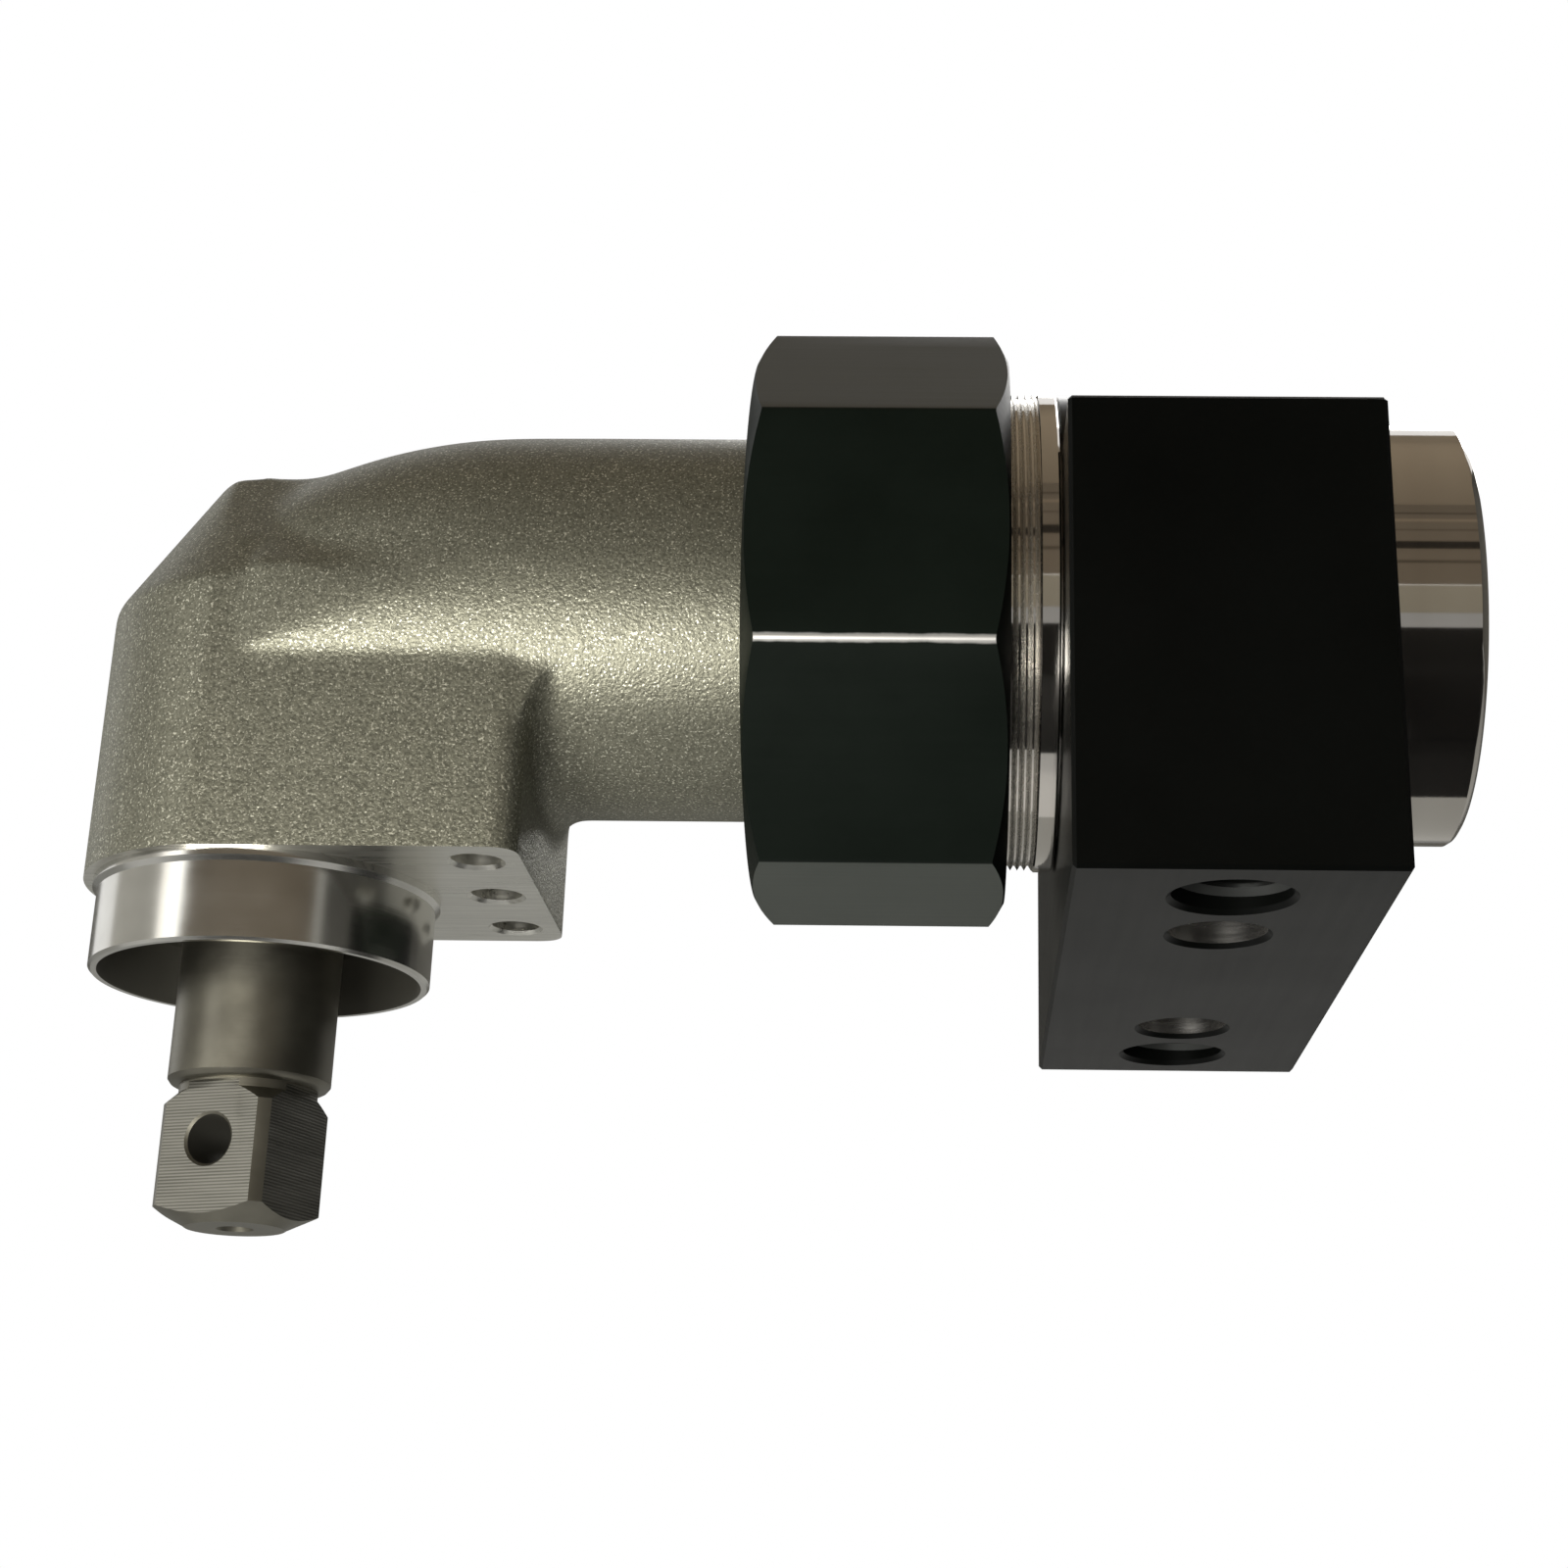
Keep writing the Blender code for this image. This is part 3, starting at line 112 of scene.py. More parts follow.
for number, (height, thick, shade) in enumerate((
    (0.34, 0.03, 0.5), (0.52, 0.09, 0.12), (0.72, 0.02, 0.55), (0.88, 0.05, 1.5), (1.02, 0.03, 0.4),
)):
    room_card("beam_%d" % number, (0.05, -0.93, height), FACING, (2.0, thick),
              [part * shade for part in BEAM_BROWN], False)

# The surround is white to the camera and to bright metal, and lights the tool at a lower level.
SURROUND_LIGHT = 0.27
world = bpy.data.worlds.new("white_surround")
bpy.context.scene.world = world
world.use_nodes = True
world_nodes = world.node_tree.nodes
world_links = world.node_tree.links
ray = world_nodes.new("ShaderNodeLightPath")
seen_rays = world_nodes.new("ShaderNodeMath")
seen_rays.operation = "MAXIMUM"
world_links.new(ray.outputs["Is Camera Ray"], seen_rays.inputs[0])
world_links.new(ray.outputs["Is Glossy Ray"], seen_rays.inputs[1])
clear_rays = world_nodes.new("ShaderNodeMath")
clear_rays.operation = "MAXIMUM"
world_links.new(seen_rays.outputs[0], clear_rays.inputs[0])
world_links.new(ray.outputs["Is Transmission Ray"], clear_rays.inputs[1])
level = world_nodes.new("ShaderNodeMapRange")
level.inputs["To Min"].default_value = SURROUND_LIGHT
level.inputs["To Max"].default_value = 1.0
world_links.new(clear_rays.outputs[0], level.inputs["Value"])
surround = world_nodes["Background"]
surround.inputs["Color"].default_value = (1, 1, 1, 1)
world_links.new(level.outputs["Result"], surround.inputs["Strength"])

# Three soft lamps light the tool. A visor keeps the nearest one's light off the floor.
LAMP_AIM = Vector((-0.04, -0.01, 0.03))


def soft_lamp(name, place, size, power, colour):
    """Adds a wide soft lamp that points at the tool."""
    lamp = bpy.data.lights.new(name, "AREA")
    lamp.shape = "RECTANGLE"
    lamp.size, lamp.size_y = size
    lamp.energy = power
    lamp.color = colour
    holder = bpy.data.objects.new(name, lamp)
    bpy.context.scene.collection.objects.link(holder)
    holder.location = place
    aim = LAMP_AIM - Vector(place)
    holder.rotation_euler = aim.to_track_quat("-Z", "Y").to_euler()


soft_lamp("bench_glow", (-0.15, -0.21, -0.094), (0.17, 0.09), 0.86, (1.0, 0.98, 0.93))
lamp_visor = room_card("lamp_visor", (-0.12, -0.145, -0.145), LYING, (0.34, 0.17), FLAG_BLACK,
                       False)
lamp_visor.visible_shadow = True
soft_lamp("rear_window", (0.25, 0.85, 0.65), (0.8, 0.6), 6.0, (1.0, 0.99, 0.97))
soft_lamp("doorway", (-0.80, -0.55, 0.28), (0.25, 0.80), 0.8, (1.0, 0.98, 0.94))

# The mounting block is a steel bar, milled on all sides, bored for the sleeve and blackened. Two
# dowel holes and two threaded holes in its underside fasten it to the fixture.
BLOCK_HALF = 0.01575
BLOCK_END = 0.045
BLOCK_TOP = 0.0485
TOOL_AXIS = Vector((0, -0.0095, 0.037))
BLOCK_CHAMFER = 0.0004
SADDLE_RADIUS = 0.0258
BLOCK_BORE = 0.0233
BORE_REACH = 0.02
DOWEL_HOLE = 0.0050
DOWEL_DEPTH = 0.014
DOWEL_OUT = 0.021
SCREW_HOLE = 0.0051
SCREW_MAJOR = 0.0059
SCREW_DEPTH = 0.020
SCREW_OUT = 0.035
SCREW_PITCH = 0.00175
SCREW_START = 0.0012
SCREW_TURNS = 9
HOLE_CHAMFER = 0.0005
DRILL_TIP = 0.003
DRILL_POINT = 0.0003
CLEAR = 0.001
HAIR = 0.0001
ALONG_TOOL = (1, 0, 0)
UPWARD = (0, 0, 1)


class Wire:
    """A value on its way through a material, which can be used in plain sums."""

    def __init__(self, finish, socket):
        self.finish = finish
        self.socket = socket

    def sum(self, operation, first, second):
        return self.finish.node("ShaderNodeMath", {"operation": operation}, {0: first, 1: second})

    def __add__(self, other):
        return self.sum("ADD", self, other)

    def __sub__(self, other):
        return self.sum("SUBTRACT", self, other)

    def __rsub__(self, other):
        return self.sum("SUBTRACT", other, self)

    def __mul__(self, other):
        return self.sum("MULTIPLY", self, other)

    __radd__ = __add__
    __rmul__ = __mul__


class Finish:
    """The material of one piece, from its plain colour to its marks and grain."""

    def __init__(self, name, colour, roughness, metallic):
        self.material = bpy.data.materials.new(name)
        self.material.use_nodes = True
        self.tree = self.material.node_tree
        self.shader = self.tree.nodes["Principled BSDF"]
        self.shader.inputs["Base Color"].default_value = (*colour, 1)
        self.shader.inputs["Roughness"].default_value = roughness
        self.shader.inputs["Metallic"].default_value = metallic
        self.where = self.node("ShaderNodeTexCoord", {}, {}, "Object")
        self.along = self.node("ShaderNodeSeparateXYZ", {}, {0: self.where}, "X")
        split = self.along.socket.node
        self.across = Wire(self, split.outputs["Y"])
        self.up = Wire(self, split.outputs["Z"])

    def node(self, kind, settings, values, output=0):
        """Adds a node with its settings, then fills its sockets with values or links."""
        made = self.tree.nodes.new(kind)
        for key, value in settings.items():
            setattr(made, key, value)
        for key, value in values.items():
            if isinstance(value, Wire):
                self.tree.links.new(value.socket, made.inputs[key])
            else:
                made.inputs[key].default_value = value
        return Wire(self, made.outputs[output])

    def noise(self, size, detail=2.0, where=None):
        """Soft random variation whose blotches are about the given size across."""
        values = {"Vector": where or self.where, "Scale": 1 / size, "Detail": detail}
        return self.node("ShaderNodeTexNoise", {}, values)

    def stretched(self, scale):
        """Object coordinates that are drawn out, so that a noise becomes lines."""
        return self.node("ShaderNodeMapping", {}, {"Vector": self.where, "Scale": scale})

    def mask(self, value, low, high):
        """Turns a value into a smooth step from 0 at low to 1 at high."""
        settings = {"interpolation_type": "SMOOTHSTEP"}
        values = {"Value": value, "From Min": low, "From Max": high}
        return self.node("ShaderNodeMapRange", settings, values)

    def mix(self, mask, first, second):
        """Blends two colours by a mask."""
        first = first if isinstance(first, Wire) else (*first, 1)
        second = second if isinstance(second, Wire) else (*second, 1)
        return self.node("ShaderNodeMix", {"data_type": "RGBA"}, {0: mask, 6: first, 7: second}, 2)

    def grain(self, height, depth, strength=1.0, under=None):
        """Raises the surface by a height that goes up to the given depth."""
        values = {"Height": height, "Distance": depth, "Strength": strength}
        if under is not None:
            values["Normal"] = under
        return self.node("ShaderNodeBump", {}, values)

    def feed(self, name, wire):
        """Drives one of the surface's main sockets."""
        self.tree.links.new(wire.socket, self.shader.inputs[name])


def start_clean():
    """Leaves edit mode and deselects everything, before a new primitive."""
    if bpy.context.object and bpy.context.object.mode == "EDIT":
        bpy.ops.object.mode_set(mode="OBJECT")
    bpy.ops.object.select_all(action="DESELECT")


def bar(name, low, high):
    """Adds a square bar between two corners."""
    start_clean()
    low = Vector(low)
    high = Vector(high)
    bpy.ops.mesh.primitive_cube_add(size=1, location=(low + high) / 2)
    made = bpy.context.object
    made.name = name
    made.scale = high - low
    bpy.ops.object.transform_apply(location=True, rotation=True, scale=True)
    return made


def lathe(name, axis_point, along, stations, hollow=False, steps=160):
    """Draws a ring out along an axis, through stations of (distance, radius)."""
    start_clean()
    centre = Vector(axis_point)
    direction = Vector(along)
    turn = direction.to_track_quat("Z", "X").to_euler()
    distance, radius = stations[0]
    fill = "NOTHING" if hollow else "NGON"
    bpy.ops.mesh.primitive_circle_add(vertices=steps, radius=radius, fill_type=fill,
                                      location=centre + direction * distance, rotation=turn)
    made = bpy.context.object
    made.name = name
    bpy.ops.object.mode_set(mode="EDIT")
    bpy.ops.mesh.select_all(action="SELECT")
    for next_distance, next_radius in stations[1:]:
        step = direction * (next_distance - distance)
        bpy.ops.mesh.extrude_region_move(TRANSFORM_OT_translate={"value": step})
        ratio = next_radius / radius
        bpy.ops.transform.resize(value=(ratio, ratio, ratio),
                                 center_override=centre + direction * next_distance)
        distance = next_distance
        radius = next_radius
    bpy.ops.mesh.select_all(action="SELECT")
    if hollow:
        bpy.ops.mesh.remove_doubles(threshold=0.000001)
    bpy.ops.mesh.normals_make_consistent(inside=False)
    bpy.ops.object.mode_set(mode="OBJECT")
    bpy.ops.object.transform_apply(location=True, rotation=True, scale=True)
    return made


def carve(piece, tool, operation="DIFFERENCE", solver="MANIFOLD"):
    """Cuts, joins or trims a piece with a tool, which is used up."""
    bpy.context.view_layer.objects.active = piece
    step = piece.modifiers.new("Carve", "BOOLEAN")
    step.operation = operation
    step.solver = solver
    step.object = tool
    bpy.ops.object.modifier_apply(modifier=step.name)
    bpy.data.objects.remove(tool, do_unlink=True)


def break_edges(piece, width, segments, sharper_than=30):
    """Takes the sharpness off a piece's edges with a small bevel."""
    bpy.context.view_layer.objects.active = piece
    step = piece.modifiers.new("Break edges", "BEVEL")
    step.width = width
    step.segments = segments
    step.limit_method = "ANGLE"
    step.angle_limit = math.radians(sharper_than)
    bpy.ops.object.modifier_apply(modifier=step.name)


def complete(piece, body, node, slot, *finishes):
    """Shades a finished piece, gives it its finish and lets it stand for its solid."""
    start_clean()
    piece.select_set(True)
    bpy.context.view_layer.objects.active = piece
    bpy.ops.object.shade_smooth_by_angle(angle=math.radians(30))
    piece.data.materials.clear()
    for finish in finishes:
        piece.data.materials.append(finish.material)
    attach(piece, body)
    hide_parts(node)


def finish_faces(piece, index, belongs):
    """Gives the faces that a test picks out by centre and normal another finish."""
    for face in piece.data.polygons:
        if belongs(face.center, face.normal):
            face.material_index = index


block_body = bar("block_body", (-BLOCK_HALF, -BLOCK_END, 0), (BLOCK_HALF, BLOCK_END, BLOCK_TOP))
break_edges(block_body, BLOCK_CHAMFER, 1, 45)
saddle = lathe("saddle", TOOL_AXIS, ALONG_TOOL, [
    (-BLOCK_HALF, SADDLE_RADIUS), (BLOCK_HALF, SADDLE_RADIUS),
])
carve(block_body, saddle, "UNION")
sleeve_bore = lathe("sleeve_bore", TOOL_AXIS, ALONG_TOOL, [
    (-BORE_REACH, BLOCK_BORE), (BORE_REACH, BLOCK_BORE),
])
carve(block_body, sleeve_bore)
for side in (-1, 1):
    for out, radius, depth in (
        (DOWEL_OUT, DOWEL_HOLE, DOWEL_DEPTH), (SCREW_OUT, SCREW_MAJOR, SCREW_DEPTH),
    ):
        mouth = radius + HOLE_CHAMFER
        drill = lathe("drill", (0, side * out, 0), UPWARD, [
            (-CLEAR, mouth), (0, mouth), (HOLE_CHAMFER, radius), (depth, radius),
            (depth + DRILL_TIP, DRILL_POINT),
        ], steps=96)
        carve(block_body, drill)

black_steel = Finish("blackened_steel", (0.002, 0.002, 0.002), 0.32, 0.0)
black_steel.shader.inputs["Specular IOR Level"].default_value = 0.10
mill_lines = black_steel.noise(0.0012, 3.0, black_steel.stretched((1, 0.04, 1)))
wiped = black_steel.noise(0.018, 3.0)
black_tone = black_steel.mix(wiped, (0.0010, 0.0012, 0.0010), (0.0026, 0.0030, 0.0026))
black_steel.feed("Base Color", black_tone)
black_steel.feed("Roughness", 0.26 + 0.10 * wiped + 0.05 * mill_lines)
black_steel.feed("Normal", black_steel.grain(mill_lines, 0.00002, 0.35))

bright_bore = Finish("reamed_bore", (0.55, 0.54, 0.52), 0.22, 1.0)
bore_marks = bright_bore.noise(0.0006, 2.0, bright_bore.stretched((0.1, 0.1, 1)))
bright_bore.feed("Roughness", 0.16 + 0.18 * bore_marks)
bright_bore.feed("Normal", bright_bore.grain(bore_marks, 0.00003, 0.5))


def in_dowel_hole(centre, normal):
    """Finds the wall of a dowel hole."""
    out = math.hypot(centre.x, abs(centre.y) - DOWEL_OUT)
    return out < DOWEL_HOLE + HAIR and HOLE_CHAMFER - HAIR < centre.z < DOWEL_DEPTH + DRILL_TIP


complete(block_body, "mount", "mounting_block", "black_oxide_block", black_steel, bright_bore)
finish_faces(block_body, 1, in_dowel_hole)

RIDGE_HALF = 0.46


def thread(name, axis_point, along, start, turns, pitch, root, crest, steps):
    """Winds a V-shaped ridge round an axis, from root to crest, one pitch a turn."""
    start_clean()
    centre = Vector(axis_point)
    direction = Vector(along)
    bpy.ops.mesh.primitive_circle_add(vertices=3, radius=1, fill_type="NOTHING", location=(0, 0, 0))
    made = bpy.context.object
    made.name = name
    profile = ((root, -RIDGE_HALF), (crest, 0), (root, RIDGE_HALF))
    for vertex, (radius, rise) in zip(made.data.vertices, profile):
        vertex.co = (radius, 0, rise * pitch)
    winding = made.modifiers.new("Winding", "SCREW")
    winding.axis = "Z"
    winding.angle = math.tau
    winding.screw_offset = pitch
    winding.iterations = turns
    winding.steps = steps
    winding.render_steps = steps
    winding.use_merge_vertices = False
    bpy.ops.object.modifier_apply(modifier=winding.name)
    bpy.ops.object.mode_set(mode="EDIT")
    bpy.ops.mesh.select_all(action="SELECT")
    bpy.ops.mesh.remove_doubles(threshold=0.0000001)
    bpy.ops.mesh.select_all(action="DESELECT")
    bpy.ops.mesh.select_non_manifold()
    bpy.ops.mesh.fill()
    bpy.ops.mesh.select_all(action="SELECT")
    bpy.ops.mesh.normals_make_consistent(inside=False)
    bpy.ops.object.mode_set(mode="OBJECT")
    made.matrix_world = (
        Matrix.Translation(centre + direction * start)
        @ direction.to_track_quat("Z", "X").to_matrix().to_4x4()
    )
    bpy.ops.object.transform_apply(location=True, rotation=True, scale=True)
    return made


tapped_steel = Finish("tapped_steel", (0.05, 0.052, 0.05), 0.3, 0.6)
tapped_steel.feed("Roughness", 0.22 + 0.2 * tapped_steel.noise(0.001))
for side, label in ((-1, "front"), (1, "back")):
    ridge = thread("block_thread_" + label, (0, side * SCREW_OUT, 0), UPWARD, SCREW_START,
                   SCREW_TURNS, SCREW_PITCH, SCREW_MAJOR + HAIR, SCREW_HOLE, 64)
    complete(ridge, "mount", "mounting_block", "black_oxide_block", tapped_steel)

# The coupling sleeve is turned from bar and pressed into the block. The union nut screws on its
# fine outer thread, a shoulder sits against the block, and its polished end takes the motor.
CROSSING = Vector((-0.09925, -0.0095, 0.037))
THREAD_START = 0.0623
THREAD_END = 0.0813
BLOCK_NEAR = 0.0835
SLEEVE_END = 0.1265
THREAD_CREST = 0.0260
THREAD_ROOT = 0.0255
THREAD_PITCH = 0.00075
THREAD_TURNS = 24
SHOULDER = 0.0262
SLEEVE_OUTER = 0.0230
SLEEVE_BORE = 0.0200

sleeve_body = lathe("sleeve_body", CROSSING, ALONG_TOOL, [
    (THREAD_START, SLEEVE_BORE), (THREAD_START, THREAD_ROOT - 0.0004),
    (THREAD_START + 0.0006, THREAD_ROOT), (THREAD_END - 0.0004, THREAD_ROOT),
    (THREAD_END - 0.0002, SHOULDER - 0.0002), (THREAD_END, SHOULDER),
    (BLOCK_NEAR - 0.0005, SHOULDER), (BLOCK_NEAR - 0.0003, SHOULDER - 0.0002),
    (BLOCK_NEAR - 0.0003, SLEEVE_OUTER), (SLEEVE_END - 0.0008, SLEEVE_OUTER),
    (SLEEVE_END - 0.0003, SLEEVE_OUTER - 0.0003), (SLEEVE_END, SLEEVE_OUTER - 0.0008),
    (SLEEVE_END, SLEEVE_BORE + 0.0008), (SLEEVE_END - 0.0008, SLEEVE_BORE),
    (THREAD_START, SLEEVE_BORE),
], hollow=True, steps=192)
sleeve_thread = thread("sleeve_thread", CROSSING, ALONG_TOOL, THREAD_START + 0.0011, THREAD_TURNS,
                       THREAD_PITCH, THREAD_ROOT - HAIR, THREAD_CREST, 96)

polished_steel = Finish("polished_steel", (0.70, 0.67, 0.62), 0.10, 1.0)
turning_lines = polished_steel.noise(0.00035, 2.0, polished_steel.stretched((1, 0.02, 0.02)))
dull_bands = polished_steel.noise(0.004, 1.0, polished_steel.stretched((1, 0.05, 0.05)))
polished_tone = polished_steel.mix(dull_bands, (0.62, 0.58, 0.53), (0.76, 0.73, 0.68))
polished_steel.feed("Base Color", polished_tone)
polished_steel.feed("Roughness", 0.03 + 0.04 * dull_bands + 0.03 * turning_lines)
polished_steel.feed("Normal", polished_steel.grain(turning_lines, 0.000006, 0.5))
complete(sleeve_body, "mount", "coupling_sleeve", "polished_steel", polished_steel)

thread_steel = Finish("thread_steel", (0.80, 0.78, 0.74), 0.25, 1.0)
thread_steel.feed("Roughness", 0.16 + 0.20 * thread_steel.noise(0.0015, 3.0))
complete(sleeve_thread, "mount", "coupling_sleeve", "polished_steel", thread_steel)

# The union nut is an eight-sided steel nut with a thread inside and a lip that pulls the head's
# flange on to the sleeve. It is turned at both ends and blackened, and its edges wear bright.
NUT_START = 0.0513
NUT_LENGTH = 0.0268
NUT_FLATS = 0.060
NUT_LIP = 0.0044
NUT_LIP_BORE = 0.0213
NUT_THREAD_BORE = 0.0263
NUT_CHAMFER = 0.0016
NUT_CHAMFER_DEPTH = 1.15
NUT_MOUTH = 0.0004
NUT_LEAD_IN = 0.0008
NUT_EDGE = 0.00025
NUT_TURN = math.radians(-22.6)

nut_corner = NUT_FLATS / 2 / math.cos(math.pi / 8)
start_clean()
bpy.ops.mesh.primitive_cylinder_add(vertices=8, radius=nut_corner, depth=NUT_LENGTH)
nut_body = bpy.context.object
nut_body.name = "nut_body"
nut_body.matrix_world = (
    Matrix.Translation(CROSSING + Vector((NUT_START + NUT_LENGTH / 2, 0, 0)))
    @ Matrix.Rotation(math.pi / 2, 4, "Y")
    @ Matrix.Rotation(NUT_TURN + math.pi / 2, 4, "Z")
)
bpy.ops.object.transform_apply(location=True, rotation=True, scale=True)
break_edges(nut_body, NUT_EDGE, 3)
nut_inset = (nut_corner - NUT_FLATS / 2) * NUT_CHAMFER_DEPTH
nut_slope = nut_inset / NUT_CHAMFER
nut_wide = nut_corner + CLEAR * nut_slope
nut_tip = nut_corner - nut_inset - CLEAR * nut_slope
rounding = lathe("nut_rounding", CROSSING + Vector((NUT_START, 0, 0)), ALONG_TOOL, [
    (-CLEAR, nut_tip), (NUT_CHAMFER + CLEAR, nut_wide),
    (NUT_LENGTH - NUT_CHAMFER - CLEAR, nut_wide), (NUT_LENGTH + CLEAR, nut_tip),
], steps=192)
carve(nut_body, rounding, "INTERSECT", "EXACT")
nut_bore = lathe("nut_bore", CROSSING + Vector((NUT_START, 0, 0)), ALONG_TOOL, [
    (-CLEAR, NUT_LIP_BORE + NUT_MOUTH), (0, NUT_LIP_BORE + NUT_MOUTH), (NUT_MOUTH, NUT_LIP_BORE),
    (NUT_LIP, NUT_LIP_BORE), (NUT_LIP + HAIR, NUT_THREAD_BORE),
    (NUT_LENGTH - NUT_LEAD_IN, NUT_THREAD_BORE), (NUT_LENGTH, NUT_THREAD_BORE + NUT_LEAD_IN),
    (NUT_LENGTH + CLEAR, NUT_THREAD_BORE + NUT_LEAD_IN),
], steps=192)
carve(nut_body, nut_bore, "DIFFERENCE", "EXACT")


def nut_finish(name, dark, light, worn):
    """Black oxide between two tones, with one corner of the nut worn bright if asked for."""
    made = Finish(name, light, 0.45, 0.0)
    made.shader.inputs["Specular IOR Level"].default_value = 0.12
    drawn_lines = made.noise(0.0007, 2.0, made.stretched((0.03, 1, 1)))
    cloudy = made.noise(0.012, 3.0)
    tone = made.mix(cloudy, dark, light)
    if worn:
        out = (CROSSING.y - made.across) * math.cos(NUT_TURN)
        out = out + (made.up - CROSSING.z) * math.sin(NUT_TURN)
        ragged = out + 0.0002 * made.noise(0.0035, 4.0)
        wear = made.mask(ragged, nut_corner - 0.00014, nut_corner + 0.00002)
        tone = made.mix(wear, tone, (0.55, 0.54, 0.52))
        made.feed("Metallic", wear * 0.9)
    made.feed("Base Color", tone)
    made.feed("Roughness", 0.36 + 0.10 * cloudy + 0.06 * drawn_lines)
    made.feed("Normal", made.grain(drawn_lines, 0.00002, 0.4))
    return made


def upper_front_flat(centre, normal):
    """Finds the flat that looks up and forward, which gets a lighter colour as painted light."""
    return normal.z > 0.65 and normal.y < -0.65


def lowest_flat(centre, normal):
    """Finds the flat that looks straight down, which gets a lighter colour as painted reflection.
    """
    return normal.z < -0.99


# The upper front flat and the lowest flat get lighter copies of the black finish as painted light,
# standing for the light and reflections that these faces catch.
nut_black = nut_finish("nut_black", (0.0015, 0.0030, 0.0018), (0.0042, 0.0070, 0.0048), True)
nut_painted_light_top = nut_finish("nut_painted_light_top", (0.040, 0.037, 0.025), (0.062, 0.058, 0.042), False)
nut_painted_light_under = nut_finish("nut_painted_light_under", (0.034, 0.040, 0.034), (0.058, 0.064, 0.056), False)
complete(nut_body, "clamp_nut", "union_nut", "black_oxide_nut", nut_black, nut_painted_light_top, nut_painted_light_under)
finish_faces(nut_body, 1, upper_front_flat)
finish_faces(nut_body, 2, lowest_flat)

# The head is a steel casting, shot-blasted all over. Its neck swells out of a faceted gear case,
# and the casting's soft edges and fillets come from its mould, so it is modelled as one skin.
HEAD_NOSE = 0.0190
HEAD_SIDE = 0.0185
HEAD_WALL = 0.0290
HEAD_FACE = -0.0305
HEAD_CORNER = 0.0026
CASE_TOP = 0.018
CAST_ALLOWANCE = 0.003
NECK_RADIUS = 0.0210
NECK_END = 0.0560
NECK_SWELL = 0.0600
NECK_SWELL_START = 0.026
NECK_SWELL_LENGTH = 0.036
NECK_STEPS = 16
BELLY_SWELL = 0.1690
BELLY_TOP = 0.0080
BELLY_STEPS = 8
FILLET = 0.0032
FILLET_STEPS = 6
CAST_GRID = 0.0005

head_casting = lathe("head_casting", CROSSING, UPWARD, [
    (HEAD_FACE - CAST_ALLOWANCE, HEAD_NOSE), (-0.0015, HEAD_NOSE), (0.0145, 0.0095),
    (CASE_TOP, 0.00742),
], steps=128)
gear_case = bar("gear_case", CROSSING + Vector((0, -HEAD_SIDE, HEAD_FACE - CAST_ALLOWANCE)),
                CROSSING + Vector((HEAD_WALL, HEAD_SIDE, CASE_TOP)))


def round_corners(box, radius):
    """Rounds the two upright edges of a box that lie away from the nose."""
    far = max(vertex.co.x for vertex in box.data.vertices) - HAIR
    for edge in box.data.edges:
        ends = [box.data.vertices[index].co for index in edge.vertices]
        edge.select = abs(ends[0].z - ends[1].z) > 0.01 and min(end.x for end in ends) > far
    bpy.context.tool_settings.mesh_select_mode = (False, True, False)
    bpy.ops.object.mode_set(mode="EDIT")
    bpy.ops.mesh.bevel(offset=radius, segments=6)
    bpy.ops.object.mode_set(mode="OBJECT")
    bpy.context.tool_settings.mesh_select_mode = (True, False, False)


round_corners(gear_case, HEAD_CORNER)
carve(head_casting, gear_case, "UNION")
BEYOND = 0.2


def slice_off(piece, point, normal):
    """Takes off what lies beyond a plane through a piece."""
    start_clean()
    away = Vector(normal).normalized()
    bpy.ops.mesh.primitive_cube_add(size=BEYOND, location=Vector(point) + away * BEYOND / 2,
                                    rotation=away.to_track_quat("Z", "Y").to_euler())
    waste = bpy.context.object
    bpy.ops.object.transform_apply(location=True, rotation=True, scale=True)
    carve(piece, waste)


facets = (
    ((0, HEAD_SIDE, 0), (0, 1, 0)),
    ((0, -HEAD_SIDE, 0), (0, -1, 0)),
    ((0, 0, 0.01525), (-0.068, 0, 1)),
    ((HEAD_WALL, 0, 0), (0.0162, 0, 0.0150)),
)
for foot, normal in facets:
    slice_off(head_casting, CROSSING + Vector(foot), normal)

belly = lathe("neck_belly", CROSSING, ALONG_TOOL, [
    (0, NECK_RADIUS - HAIR / 2), (NECK_SWELL_START + CLEAR, NECK_RADIUS - HAIR / 2),
])
slice_off(belly, CROSSING + Vector((0, 0, BELLY_TOP)), (0, 0, 1))
slice_off(belly, CROSSING + Vector((0, 0, HEAD_FACE / 2)), (0, 0, -1))
for side in (-1, 1):
    for step in range(BELLY_STEPS + 1):
        back = NECK_SWELL_START * step / BELLY_STEPS
        drop = BELLY_SWELL - math.sqrt(BELLY_SWELL ** 2 - back ** 2)
        foot = CROSSING + Vector((NECK_SWELL_START - back, side * (NECK_RADIUS - drop), 0))
        slice_off(belly, foot, (-back, side * (BELLY_SWELL - drop), 0))
carve(head_casting, belly, "UNION")
for side in (-1, 1):
    slice_off(head_casting, CROSSING + Vector((0, side * HEAD_SIDE, 0.00045)),
              (-0.095, side * 1.29, 1))

neck_stations = []
for step in range(NECK_STEPS + 1):
    back = NECK_SWELL_LENGTH * (1 - step / NECK_STEPS)
    drop = NECK_SWELL - math.sqrt(NECK_SWELL ** 2 - back ** 2)
    neck_stations.append((NECK_SWELL_START - back, NECK_RADIUS - drop))
neck_stations.append((NECK_END + 0.0015, NECK_RADIUS))
neck = lathe("neck", CROSSING, ALONG_TOOL, neck_stations)
carve(head_casting, neck, "UNION")

